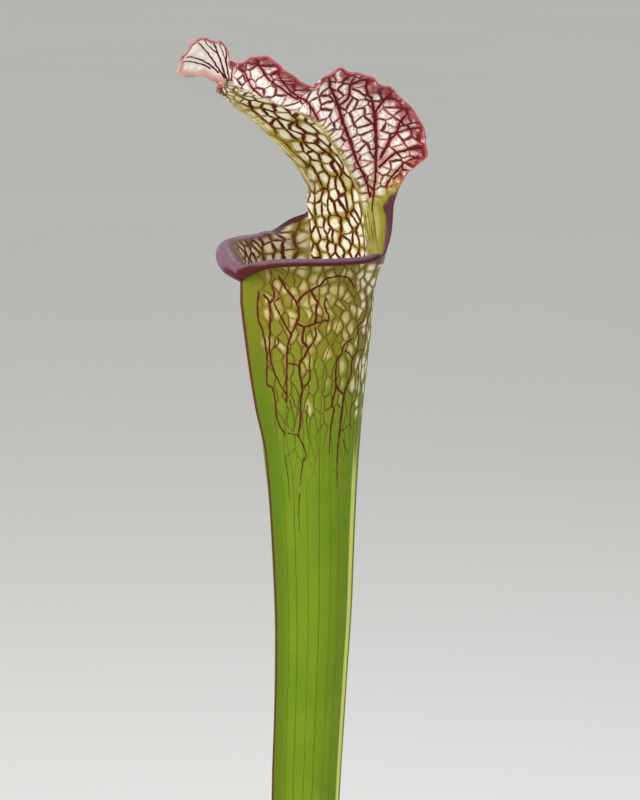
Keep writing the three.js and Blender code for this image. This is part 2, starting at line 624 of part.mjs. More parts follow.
function addShortLeaf(name, spec, outline, color) {
  addPiece(name, loft(shortLeafRings(spec, outline)), color);
  pockets.push(loft(shortLeafRings(spec, outline, CLEARANCE, pocketShare(spec))));
}

addPiece('main_pitcher', mainPitcher(), 0x7a9a20, 0.45).position.copy(CROWN);
addShortLeaf('young_pitcher', YOUNG_PITCHER, YOUNG_OUTLINE, 0x8aa52c);
addShortLeaf('pitcher_bud', PITCHER_BUD, BUD_OUTLINE, 0x9a8a3c);
FLAT_LEAVES.forEach((spec, i) => addShortLeaf(`flat_leaf_${i + 1}`, spec, SWORD_OUTLINE, 0x6f8f22));
OLD_BASES.forEach((spec, i) => addShortLeaf(`old_leaf_base_${i + 1}`, spec, STUMP_OUTLINE, 0x8a6a45));
addPiece('rhizome', rhizomeGeometry(), 0x7c5a3a, 0.85);
ROOT_BEARINGS.forEach((_, i) => addPiece(`root_${i + 1}`, rootGeometry(i), 0x5a4030, 0.9));
addPiece('potting_mix', pottingMix(pockets), 0x5a4030, 0.95);
addPiece('pot', potGeometry(), 0x1c1c1c, 0.5);

export default plant;
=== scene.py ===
"""A pitcher plant in a round nursery pot: the looks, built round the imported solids.

Lengths in this file are millimetres, +Z up, with the origin at the centre of the pot's base, and
add_mesh turns them into metres. The main pitcher is described in its own frame, with heights above
the crown, its mouth towards -Y, and angles in degrees from the front with the +X side positive.
"""
import math
from types import SimpleNamespace

import bmesh
import bpy
import numpy as np
from mathutils import Euler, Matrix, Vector


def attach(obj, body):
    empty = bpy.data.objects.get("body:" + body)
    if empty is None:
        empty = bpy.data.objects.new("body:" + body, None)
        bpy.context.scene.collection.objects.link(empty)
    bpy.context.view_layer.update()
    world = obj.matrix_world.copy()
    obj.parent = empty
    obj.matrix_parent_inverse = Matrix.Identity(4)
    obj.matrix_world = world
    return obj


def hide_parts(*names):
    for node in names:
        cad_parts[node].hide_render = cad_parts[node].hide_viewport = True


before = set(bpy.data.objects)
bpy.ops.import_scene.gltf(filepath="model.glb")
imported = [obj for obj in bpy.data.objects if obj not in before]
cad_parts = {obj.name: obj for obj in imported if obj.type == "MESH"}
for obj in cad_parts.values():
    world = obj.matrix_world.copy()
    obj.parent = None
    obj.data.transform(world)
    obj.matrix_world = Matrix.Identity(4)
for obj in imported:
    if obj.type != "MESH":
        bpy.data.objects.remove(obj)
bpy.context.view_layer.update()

MM = 0.001

# ---- driving dimensions, the same as those of the solids ----

POT_HEIGHT = 120
POT_TOP_RADIUS = 62.5
POT_BASE_RADIUS = 46
POT_WALL = 1.6
POT_FLOOR = 2.4
RIM_BAND_RADIUS = 65
RIM_BAND_HEIGHT = 14
DRAIN_HOLES = 8
DRAIN_RADIUS = 4.5
DRAIN_CIRCLE = 37

CLEARANCE = 0.35
MIX_TOP = 106
MIX_DOME = 1.5
MIX_BUMPS = 0.8
MIX_DOME_SPREAD = 26

RHIZOME_CENTRE = np.array([-4, 6, 100.5])
RHIZOME_HALF = np.array([32, 10, 8])
CROWN = np.array([0, 6, 108.8])

# Tube: height, offset of its centre to the front, radius, reach of the front wing's edge.
TUBE = [
    [0, 2, 4.6, 5.2], [35, 2, 5.1, 6.3], [88, 1.6, 6.3, 8.4], [158, 0.7, 8.8, 11.9],
    [210, 0, 10.5, 14.7], [245, -1.2, 11.5, 16.4], [280, -3.1, 12.2, 16.6],
    [312, -4.3, 13.3, 17.7], [343, -4.2, 14.5, 19.6], [365, -3.4, 16.3, 21],
    [383, -3.1, 18, 25.5], [402.5, -2.8, 20.3, 29], [416.5, -2.4, 21.9, 30.8],
    [426, -1.9, 22.8, 31.8],
]
TUBE_TOP = 420
HOLLOW_FLOOR = 60
WING_SPREAD = 60
WING_SHARPNESS = 3.2

# Lip: degrees from the front, radius of its outer edge, height of its crest.
LIP = [
    [0, 30.8, 432.2], [14, 30.8, 434.6], [30, 30.6, 436.4], [50, 30.4, 437], [93, 30.6, 437],
    [110, 30.8, 438.2], [121, 30.8, 442], [130, 30.6, 450.4],
]
NECK_ANGLE = 130
NECK_BLEND_ANGLE = 102
LIP_TILT = 1
ROLL_RADIUS = 0.85
SPOUT_ROLL = 2.3
SPOUT_ANGLE = -28
SPOUT_SPREAD = 34
ROLL_STRETCH = 1.15
ROLL_SWEEP = 280
ROLL_SWEEP_AT_WING = 170
ROLL_SWEEP_AT_NECK = 50
WING_ROLL = (8, 24)               # degrees from the front over which the roll closes up
NECK_ROLL = (86, 122)             # and over which it opens again
FAR_RIM_RISE = 3.4                # the -X side's rim stands higher just before the neck
FAR_RIM_ANGLE = -119
FAR_RIM_SPREAD = 11
FLARE_SHARE = 0.55
FLARE_POWER = 2.2

# Hood stations from the neck to the tip: fold line, +X margin, depth of the channel behind the
# fold, and the -X margin as an offset from its fold. Points are (side, back, height).
HOOD = [
    ([14.5, 15.5, 447], [24, 19.5, 451], 5.9, [6.3, 9.8, 3.5]),
    ([13.5, 14.5, 454.5], [30, 20.5, 463], 7, [11.9, 16.1, 7.7]),
    ([14, 10.5, 462], [38, 22, 470], 7.7, [17.5, 21, 11.2]),
    ([15.5, 5, 468.5], [39, 18.5, 481.5], 7.7, [20.3, 19.6, 16.1]),
    ([17, -1.5, 475], [37, 9.5, 491.5], 7.3, [20.3, 12.6, 18.9]),
    ([18, -8.5, 481], [33.5, -1.5, 498], 7, [17.5, 5.6, 18.2]),
    ([17.5, -15.5, 485], [30, -11.5, 500.5], 6.3, [14.7, 1.4, 14]),
    ([14.5, -20.5, 487.5], [22.5, -17, 495], 5.2, [9.8, 1.4, 8.4]),
    ([11, -26.5, 490.5], [20.5, -25.5, 500], 4.2, [5.6, 1.4, 1.4]),
    ([7, -31, 493], [16, -32.5, 505.5], 2.8, [3.1, 1, -1.8]),
    ([4.5, -33.5, 495], [9.5, -35, 503.5], 1, [2.1, 0.7, -2.1]),
]
# Rows of the tip's fan: middle, reach to the upper and lower edge, degrees of twist.
TIP_FAN = [
    ([0, -35, 497.5], 5, 3.4, 50),
    ([0, -39, 501], 8.4, 4.9, 62),
    ([0, -44.5, 503.5], 8, 5.9, 66),
    ([0, -51, 504], 7, 6.3, 66),
    ([0, -55.5, 503], 2.8, 3.5, 66),
]
HOOD_LEAD = 14                    # how far below the tube's top the hood's surface starts
HOOD_ANGLES = [180, 162, 138, 134, NECK_ANGLE]
CHANNEL_WIDTH_SHARE = 0.62        # where the channel's wall stands between midrib and fold
CHANNEL_DEPTH_SHARE = 0.7
NEAR_BULGE = 0.1
FAR_BULGE = -0.06

# Short leaves: x and y of the foot, height, lean of the tip, half width and half depth.
YOUNG_PITCHER = (-13, 8, 196, [-16, 10], 7.5, 6.5)
PITCHER_BUD = (11.5, 5, 92, [7, -3], 4.4, 3)
FLAT_LEAVES = [
    (-21, 4, 168, [-30, -14], 6.5, 0.9),
    (18, 9.5, 186, [24, 18], 7, 0.9),
    (4, 14.5, 138, [6, 28], 6, 0.9),
]
OLD_BASES = [
    (-29, 8, 34, [-6, 2], 4.6, 2.6),
    (-10, -1.5, 27, [-3, -7], 4.2, 2.4),
]
# Their outlines: share of the height, shares of the half width and of the half depth.
YOUNG_OUTLINE = [
    [0, 0.45, 0.5], [0.25, 0.5, 0.55], [0.55, 0.72, 0.78], [0.78, 1, 1], [0.87, 1, 0.85],
    [0.93, 0.8, 0.55], [0.98, 0.42, 0.3], [1, 0.15, 0.15],
]
BUD_OUTLINE = [[0, 0.75, 0.8], [0.3, 0.95, 1], [0.6, 1, 0.9], [0.85, 0.65, 0.55], [1, 0.12, 0.15]]
SWORD_OUTLINE = [
    [0, 0.5, 2.4], [0.08, 0.45, 1.6], [0.3, 0.8, 1], [0.58, 1, 1], [0.8, 0.8, 0.9],
    [0.94, 0.4, 0.8], [1, 0.08, 0.7],
]
STUMP_OUTLINE = [[0, 0.9, 1], [0.5, 1, 0.9], [1, 1.05, 0.75]]

# ---- small helpers ----


def smoothstep(value, low, high):
    u = np.clip((np.asarray(value, float) - low) / (high - low), 0, 1)
    return u * u * (3 - 2 * u)


def bell(value, middle, spread):
    return np.exp(-(((np.asarray(value, float) - middle) / spread) ** 2))


def unit(vectors):
    return vectors / np.maximum(np.linalg.norm(vectors, axis=-1, keepdims=True), 1e-9)


def circle(sides):
    return np.linspace(0, 2 * math.pi, sides, endpoint=False)


def monotone(rows, column, x):
    """Value at x of the smooth monotone curve through rows of [x, y0, y1, ...]."""
    table = np.asarray(rows, float)
    knots, values = table[:, 0], table[:, column]
    spans = np.diff(knots)
    slopes = np.diff(values) / spans
    tangents = np.concatenate([slopes[:1], np.zeros(len(knots) - 2), slopes[-1:]])
    before, after = slopes[:-1], slopes[1:]
    bends = before * after > 0
    tangents[1:-1][bends] = (2 * before * after)[bends] / (before + after)[bends]
    x = np.clip(np.asarray(x, float), knots[0], knots[-1])
    i = np.clip(np.searchsorted(knots, x, side="right") - 1, 0, len(spans) - 1)
    u = (x - knots[i]) / spans[i]
    return (values[i] * (1 + 2 * u) * (1 - u) ** 2 + spans[i] * tangents[i] * u * (1 - u) ** 2
            + values[i + 1] * u * u * (3 - 2 * u) + spans[i] * tangents[i + 1] * u * u * (u - 1))


def through_points(points, t, own_rows=False):
    """Points at the parameters t (knots at whole numbers) of the curve through rows of points.

    With own_rows, each parameter has its own row of points.
    """
    points, t = np.asarray(points, float), np.asarray(t, float)
    if own_rows:
        points = points.swapaxes(0, 1)
    i = np.clip(np.floor(t).astype(int), 0, len(points) - 2)
    padded = np.concatenate([[2 * points[0] - points[1]], points, [2 * points[-1] - points[-2]]])
    picks = (np.arange(len(t)),) if own_rows else ()
    u = (t - i).reshape(t.shape + (1,) * (points.ndim - 1 - len(picks)))
    weights = [-u + 2 * u**2 - u**3, 2 - 5 * u**2 + 3 * u**3, u + 4 * u**2 - 3 * u**3, u**3 - u**2]
    return sum(weight * padded[(i + k, *picks)] for k, weight in enumerate(weights)) / 2


def lengths_along(points, axis):
    """Distance run along one axis of a grid of points, from 0."""
    run = np.cumsum(np.linalg.norm(np.diff(points, axis=axis), axis=-1), axis=axis)
    return np.concatenate([np.zeros_like(np.take(run, [0], axis=axis)), run], axis=axis)


def waves(x, seed, periods):
    """A smooth wavy value of about -1 to 1 from a few sines with fixed phases."""
    phases = np.random.default_rng(seed).uniform(0, 2 * math.pi, len(periods))
    total = sum(np.sin(2 * math.pi * np.asarray(x, float) / period + phase)
                for period, phase in zip(periods, phases))
    return np.tanh(total / math.sqrt(len(periods)))


def patch(numbers, flip=False, area=(0, 0, 1, 1)):
    """Quads over a grid of vertex numbers, and each corner's place in an area of the bake map."""
    rows, columns = numbers.shape
    r, c = np.mgrid[0:rows - 1, 0:columns - 1]
    corners = [(r, c), (r, c + 1), (r + 1, c + 1), (r + 1, c)]
    if flip:
        corners.reverse()
    quads = np.stack([numbers[i, j] for i, j in corners], -1).reshape(-1, 4)
    left, low, right, high = area
    places = [np.stack([left + (right - left) * j / (columns - 1),
                        low + (high - low) * i / (rows - 1)], -1) for i, j in corners]
    return quads, np.stack(places, -2).reshape(-1, 4, 2)


def fan(centre, ring, flip=False):
    """Triangles from a centre vertex to a closed ring of vertices."""
    following, middle = np.roll(ring, -1), np.full(len(ring), centre)
    return np.stack([middle, following, ring] if flip else [middle, ring, following], -1)


def closed(grid):
    return np.column_stack([grid, grid[:, 0]])


def strand_faces(start, rows, sides):
    """Faces of a capped tube of rings, whose points are numbered on from start."""
    grid = start + np.arange(rows * sides).reshape(rows, sides)
    return [*patch(closed(grid))[0], grid[0, ::-1], grid[-1]]


def vertex_normals(points, quads):
    normals = np.zeros_like(points)
    a, b, c, d = (points[quads[:, k]] for k in range(4))
    face_normals = np.cross(c - a, d - b)
    for k in range(4):
        np.add.at(normals, quads[:, k], face_normals)
    return normals / np.maximum(np.linalg.norm(normals, axis=1, keepdims=True), 1e-12)


def add_mesh(name, points, faces, places=None):
    """A smooth piece from points in millimetres, with its own bake map where places are given."""
    mesh = bpy.data.meshes.new(name)
    faces = [[int(number) for number in face] for face in faces]
    mesh.from_pydata((np.asarray(points) * MM).tolist(), [], faces)
    mesh.polygons.foreach_set("use_smooth", [True] * len(mesh.polygons))
    if places is not None:
        layer = mesh.uv_layers.new(name="OFBake")
        layer.data.foreach_set("uv", np.asarray(places, np.float32).ravel())
    mesh.update()
    piece = bpy.data.objects.new(name, mesh)
    bpy.context.scene.collection.objects.link(piece)
    return piece


def add_ringed(name, rings, ends, flip=False):
    """A closed piece from rings of points, with a middle point for each end."""
    rows, sides = rings.shape[:2]
    grid = np.arange(rows * sides).reshape(rows, sides)
    faces = [*patch(closed(grid), flip)[0], *fan(grid.size, grid[0], not flip),
             *fan(grid.size + 1, grid[-1], flip)]
    return add_mesh(name, np.concatenate([rings.reshape(-1, 3), ends]), faces)


def add_values(piece, name, values):
    """Stores one number or one vector a vertex, for the materials to read."""
    values = np.asarray(values, np.float32)
    kind, field = ("FLOAT", "value") if values.ndim == 1 else ("FLOAT_VECTOR", "vector")
    piece.data.attributes.new(name, kind, "POINT").data.foreach_set(field, values.ravel())


def finish_piece(piece, material, node):
    """Every piece rides on the one body, wears its material and stands for its solid."""
    piece.data.materials.append(material)
    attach(piece, "root")
    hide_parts(node)


# ---- node graphs ----


def operator(operation, swapped=False):
    def act(wire, *other):
        return wire.graph.math(operation, *((*other, wire) if swapped else (wire, *other)))
    return act


class Wire:
    """A value on its way through a material. The sign | takes the greater of two values."""

    __add__ = __radd__ = operator("ADD")
    __mul__ = __rmul__ = operator("MULTIPLY")
    __or__ = operator("MAXIMUM")
    __sub__ = operator("SUBTRACT")
    __rsub__ = operator("SUBTRACT", swapped=True)
    __truediv__ = operator("DIVIDE")
    __pow__ = operator("POWER")
    __abs__ = operator("ABSOLUTE")

    def __init__(self, graph, node, output):
        self.graph, self.node, self.socket = graph, node, node.outputs[output]

    def output(self, name):
        """Another output of the same node."""
        return Wire(self.graph, self.node, name)


class Graph:
    """A short way to write a material's nodes. Values are numbers, colours or wires."""

    def __init__(self, name):
        self.material = bpy.data.materials.new(name)
        self.material.use_nodes = True
        self.tree = self.material.node_tree
        self.shader = self.tree.nodes["Principled BSDF"]

    def put(self, socket, value):
        if isinstance(value, Wire):
            self.tree.links.new(value.socket, socket)
        else:
            socket.default_value = value

    def node(self, kind, inputs, output=0, **settings):
        """A new node with its inputs, in order or by name, and the wire from one output."""
        made = self.tree.nodes.new("ShaderNode" + kind)
        for key, value in settings.items():
            setattr(made, key, value)
        pairs = inputs.items() if isinstance(inputs, dict) else enumerate(inputs)
        for key, value in pairs:
            self.put(made.inputs[key], value)
        return Wire(self, made, output)

    def math(self, operation, *values):
        return self.node("Math", values, operation=operation)

    def vector(self, operation, *values, output="Vector"):
        return self.node("VectorMath", values, output, operation=operation)

    def part(self, vector, number):
        return self.node("SeparateXYZ", [vector], number)

    def mix(self, share, below, above):
        return self.node("Mix", {0: share, 6: below, 7: above}, 2, data_type="RGBA")

    def coats(self, ground, *coats):
        """A ground colour under coats of paint, each a share of 0 to 1 and a colour."""
        for share, paint in coats:
            ground = self.mix(share, ground, paint)
        return ground

    def value(self, name, output="Fac"):
        return self.node("Attribute", (), output, attribute_name=name)

    def object_place(self):
        """Place on the object in millimetres."""
        place = self.node("TexCoord", (), "Object")
        return self.node("VectorMath", {0: place, "Scale": 1 / MM}, operation="SCALE")

    def noise(self, place, size, detail=2.0, roughness=0.5, stretch=None, output=0):
        """Soft noise of 0 to 1 whose patches are about size millimetres, before the stretch."""
        if stretch:
            place = self.vector("MULTIPLY", place, stretch)
        inputs = {"Vector": place, "Scale": 1 / size, "Detail": detail, "Roughness": roughness}
        return self.node("TexNoise", inputs, output)

    def shifted(self, place, amount, size):
        """The place moved about by soft noise, up to about half the amount each way."""
        centred = self.vector("SUBTRACT", self.noise(place, size, output="Color"), (0.5, 0.5, 0.5))
        return self.vector("ADD", place, self.vector("MULTIPLY", centred, (amount, amount, 0)))

    def vein_net(self, place, cell):
        """A net of veins round cells of the given width and length in millimetres.

        Gives the distance to the nearest vein in millimetres, how far that vein runs lengthwise
        (0 to 1), a number of 0 to 1 for the vein and for the cell, and the distance to the cell's
        centre in cell widths.
        """
        to_cells = (1 / cell[0], 1 / cell[1], 0)
        inputs = {"Vector": self.vector("MULTIPLY", place, to_cells), "Scale": 1, "Randomness": 0.9}
        nearest, second = (self.node("TexVoronoi", inputs, "Position", feature=feature,
                                     voronoi_dimensions="2D") for feature in ("F1", "F2"))
        lead = second.output("Distance") ** 2 - nearest.output("Distance") ** 2
        slope = self.vector("MULTIPLY", self.vector("SUBTRACT", nearest, second), to_cells)
        steepness = self.vector("LENGTH", slope, output="Value")
        middle = self.vector("ADD", nearest, second)
        return SimpleNamespace(
            distance=lead / (steepness * 2), lengthwise=abs(self.part(slope, 0)) / steepness,
            vein=self.noise(middle, 1, 0, stretch=(3.1, 2.7, 1)),
            cell=self.part(nearest.output("Color"), 0), centre=nearest.output("Distance"))

    def bump(self, height, strength, distance):
        """Turns a height in millimetres into the shader's normal."""
        inputs = {"Strength": strength, "Distance": distance * MM, "Height": height}
        self.put(self.shader.inputs["Normal"], self.node("Bump", inputs))

    def surface(self, paint, roughness, specular, **constants):
        values = {"Base Color": paint, "Roughness": roughness, "Specular IOR Level": specular}
        for name, value in (values | constants).items():
            self.put(self.shader.inputs[name.replace("_", " ")], value)
        return self.material


def rise(value, low, high):
    """0 below low, 1 above high and smooth between, or falling where low is above high."""
    ends = (low, high, 0, 1) if low < high else (high, low, 1, 0)
    return value.graph.node("MapRange", (value, *ends), interpolation_type="SMOOTHSTEP")


def colour(red, green, blue):
    """A colour from its 0 to 255 screen values."""
    screen = np.array([red, green, blue]) / 255
    linear = np.where(screen <= 0.04045, screen / 12.92, ((screen + 0.055) / 1.055) ** 2.4)
    return (*linear.tolist(), 1.0)


# ---- main pitcher: surface ----


def tube_point(height, angle, with_wing=True):
    """Point on the tube's skin at a height and an angle from the front."""
    height, angle = np.broadcast_arrays(np.asarray(height, float), np.asarray(angle, float))
    offset, radius, wing_reach = (monotone(TUBE, column, height) for column in (1, 2, 3))
    wing = np.maximum(0, 1 - np.abs(angle) / WING_SPREAD) ** WING_SHARPNESS
    reach = radius + (wing_reach - radius) * with_wing * wing
    turn = np.radians(angle)
    return np.stack([reach * np.sin(turn), -offset - reach * np.cos(turn), height], -1)


def hood_net(side):
    """Control net of one half of the hood: stations by five points from midrib to margin."""
    angles = np.array(HOOD_ANGLES) * side
    net = [tube_point(height, angles, False) for height in (TUBE_TOP - HOOD_LEAD, TUBE_TOP)]
    folds = np.array([station[0] for station in HOOD])
    ways = np.concatenate([folds[1:], folds[-1:]]) - np.concatenate([folds[:1], folds[:-1]])
    for (fold, margin, depth, far), along in zip(HOOD, unit(ways * [0, 1, 1])):
        fold = np.array(fold, float)
        margin = np.array(margin, float) if side > 0 else fold + far
        behind = np.array([0, along[2], -along[1]]) * depth
        across = margin - fold
        bulge = unit(np.cross(along, across)) * np.linalg.norm(across)
        midrib = fold * [0, 1, 1] + behind
        channel = fold * [CHANNEL_WIDTH_SHARE, 1, 1] + behind * CHANNEL_DEPTH_SHARE
        flange = (fold + margin) / 2 + bulge * (NEAR_BULGE if side > 0 else FAR_BULGE)
        net.append(np.array([midrib, channel, fold, flange, margin]) * [side, 1, 1])
    for centre, up, down, twist in TIP_FAN:
        turn = math.radians(twist)
        across = np.array([math.cos(turn), 0, math.sin(turn)]) * (up if side > 0 else -down)
        net.append(centre + across * np.linspace(0, 1, 5)[:, None])
    return np.array(net)


HOOD_NETS = {1: hood_net(1), -1: hood_net(-1)}
LAST_STATION = len(HOOD_NETS[1]) - 1
NECK_STATION = 2
TIP_STATION = 12.6                # where the hood has narrowed to the tip's fan


def hood_point(station, across):
    """Point of the hood at a station and a place across, from the -X margin (-1) to the +X (1)."""
    station, across = np.broadcast_arrays(np.asarray(station, float), np.asarray(across, float))
    s, w = station.ravel(), across.ravel()
    points = np.empty((len(s), 3))
    for side, mine in ((1, w >= 0), (-1, w < 0)):
        columns = through_points(HOOD_NETS[side], s[mine])
        opposite = through_points(HOOD_NETS[-side][:, 1], s[mine])
        rows = np.concatenate([opposite[:, None], columns], axis=1)
        points[mine] = through_points(rows, 1 + np.abs(w[mine]) * 4, own_rows=True)
    return points.reshape(station.shape + (3,))


def lip_curve(angle, t, with_wing=True):
    """The lip before it runs into the neck: t from the tube's last ring (0) round the roll (1)."""
    angle, t = np.broadcast_arrays(np.asarray(angle, float), np.asarray(t, float))
    turned, a = np.abs(angle), np.radians(angle)
    crest_height = monotone(LIP, 2, turned) - LIP_TILT * np.sin(a)
    roll = ROLL_RADIUS + SPOUT_ROLL * bell(angle, SPOUT_ANGLE, SPOUT_SPREAD)
    start = tube_point(TUBE_TOP, angle, with_wing)
    start_radius = np.hypot(start[..., 0], start[..., 1])
    crest = monotone(LIP, 1, turned) - roll
    u = np.minimum(t / FLARE_SHARE, 1)
    radius = start_radius + (crest - start_radius) * (1 - np.sqrt(1 - u**FLARE_POWER))
    height = TUBE_TOP + (crest_height - TUBE_TOP) * u
    sweep = ROLL_SWEEP_AT_WING + (ROLL_SWEEP - ROLL_SWEEP_AT_WING) * smoothstep(turned, *WING_ROLL)
    sweep = sweep + (ROLL_SWEEP_AT_NECK - sweep) * smoothstep(turned, *NECK_ROLL)
    turn = np.radians(sweep) * np.maximum(0, t - FLARE_SHARE) / (1 - FLARE_SHARE)
    rolled = t > FLARE_SHARE
    radius = np.where(rolled, crest + roll * np.sin(turn), radius)
    height = np.where(rolled, crest_height - ROLL_STRETCH * roll * (1 - np.cos(turn)), height)
    return np.stack([radius * np.sin(a), -radius * np.cos(a), height], -1)


def lip_point(angle, t, with_wing=True):
    """The lip's skin: near the neck it turns into the hood's margin."""
    angle, t = np.broadcast_arrays(np.asarray(angle, float), np.asarray(t, float))
    side = np.where(angle < 0, -1, 1)
    blend = smoothstep(np.abs(angle), NECK_BLEND_ANGLE, NECK_ANGLE)[..., None]
    change = hood_point(1 + t, side) - lip_curve(side * NECK_ANGLE, t, with_wing)
    point = lip_curve(angle, t, with_wing) + change * blend
    lift = FAR_RIM_RISE * bell(angle, FAR_RIM_ANGLE, FAR_RIM_SPREAD) * smoothstep(t, 0, FLARE_SHARE)
    point[..., 2] += lift * (1 - blend[..., 0] ** 3)
    return point


# ---- main pitcher: mesh ----

WALL = 0.9
RIM_WALL = 0.62
CHANNEL_COLUMNS = 22              # from the midrib to the fold
FLANGE_COLUMNS = 42               # from the fold to the margin
HOOD_ROWS = 170
LIP_FLARE_ROWS = 11
LIP_ROLL_ROWS = 16
RIB_ANGLE = 113                   # pale raised rib down each side of the tube
RIB_HEIGHT = 0.45
RIB_SPREAD = 4.5                  # degrees
RIB_END = (360, 400)              # heights between which the rib runs out
RIPPLE_HEIGHT = 0.7               # waves of the hood's margin
RIPPLE_LENGTHS = (9.5, 6.3, 13.0)
SCALLOP_DEPTH = 0.45
SCALLOP_LENGTHS = (10.5, 7.1)
RIPPLE_SHIFT = 31                 # keeps the two margins' waves from looking alike
PUFF_DEPTH = 0.3                  # how far the lobes sink between their main veins
PUFF_REACH = 1.1                  # distance from a vein over which they do
PUFF_LIMIT = 20                   # and the distance at which they end
NET_RADIUS = 19                   # radius at which an angle on the tube is a width of the net
NET_TOP = -12                     # the net's run at the top of the tube, about 0 at the crest
NET_LENGTHENING = 60              # the net's cells are twice as long this far below the lip
HOOD_NET_STRETCH = 0.8
PURPLE_START = 0.47               # share of the lip's rows where its purple starts
NECK_PURPLE = 2.2                 # width of the purple along the rim near the neck
# The same on the +X side: degrees from the front, and widths there.
NECK_BAND = ((88, 104, 118, 130), (2.0, 4.6, 7.2, 2.8))
NECK_BAND_ROWS = 4
FAR_FROM_MARGIN = 60.0
LOBE_RUNS = (0.85, -0.85)         # places across that the lobes' nets run along
# Left, low, right and high ends of the leaf's parts in its bake map.
BAKE_AREAS = {
    "outer_rings": (0.005, 0.005, 0.495, 0.40), "outer_hood": (0.005, 0.41, 0.495, 0.995),
    "inner_rings": (0.505, 0.005, 0.995, 0.40), "inner_hood": (0.505, 0.41, 0.995, 0.995),
    "rim": (0.005, 0.4, 0.495, 0.41),
}
BAKE_FAN = [[0.5, 0.001], [0.501, 0.003], [0.499, 0.003]]

# Main veins of a lobe as (station, place across), with the half width at both ends.
LOBE_VEINS = [
    ([(2.1, 0.62), (2.6, 0.635), (3.1, 0.64), (4.2, 0.66), (4.9, 0.7), (5.4, 0.74),
      (5.8, 0.79)], 0.31, 0.96),
    ([(5.8, 0.79), (6.2, 0.84), (6.6, 0.89), (6.9, 0.96)], 0.72, 0.46),
    ([(5.8, 0.79), (6.0, 0.88), (6.15, 0.97)], 0.66, 0.4),
    ([(2.7, 0.6), (3.2, 0.59), (4.7, 0.57), (6.2, 0.62), (6.9, 0.68)], 0.41, 0.82),
    ([(6.9, 0.68), (7.5, 0.76), (7.95, 0.86), (8.2, 0.95)], 0.72, 0.42),
    ([(6.9, 0.68), (6.8, 0.76), (7.15, 0.87), (7.3, 0.96)], 0.66, 0.4),
    ([(4.3, 0.69), (4.7, 0.76), (4.9, 0.83), (5.2, 0.88), (5.4, 0.96)], 0.72, 0.46),
    ([(4.9, 0.83), (4.9, 0.92), (4.85, 0.99)], 0.56, 0.4),
    ([(3.95, 0.67), (4.25, 0.77), (4.3, 0.85), (4.3, 0.98)], 0.62, 0.42),
    ([(2.8, 0.76), (3.3, 0.81), (3.8, 0.86), (4.0, 0.94)], 0.56, 0.4),
    ([(8.8, 0.67), (9.6, 0.71), (10.3, 0.73), (10.9, 0.82), (11.2, 0.92)], 0.54, 0.4),
    ([(7.3, 0.53), (8.9, 0.7), (9.9, 0.82), (10.3, 0.96)], 0.5, 0.4),
    ([(10.2, 0.5), (11.1, 0.6), (11.9, 0.78)], 0.47, 0.34),
]
# Veins of the tip's fan, which part from each other towards its upper edge.
TIP_VEINS = [
    ([(12.4, 0.1), (12.7, 0.5), (13.0, 0.94)], 0.44, 0.28),
    ([(12.4, -0.1), (13.0, 0.3), (13.5, 0.62), (13.9, 0.95)], 0.5, 0.3),
    ([(12.6, -0.2), (13.5, 0.12), (14.3, 0.5), (14.9, 0.94)], 0.5, 0.3),
    ([(13.1, -0.25), (14.2, 0.05), (15.0, 0.36), (15.8, 0.84)], 0.45, 0.28),
    ([(13.8, -0.3), (14.8, -0.1), (15.7, 0.1), (16.5, 0.3)], 0.42, 0.26),
    ([(14.5, -0.35), (15.3, -0.22), (16.1, -0.05), (16.8, 0.08)], 0.36, 0.24),
    ([(14.3, 0.5), (14.7, 0.56), (15.2, 0.76), (15.4, 0.93)], 0.3, 0.2),
    ([(13.0, 0.3), (13.4, 0.5), (14.2, 0.76), (14.4, 0.94)], 0.3, 0.2),
]
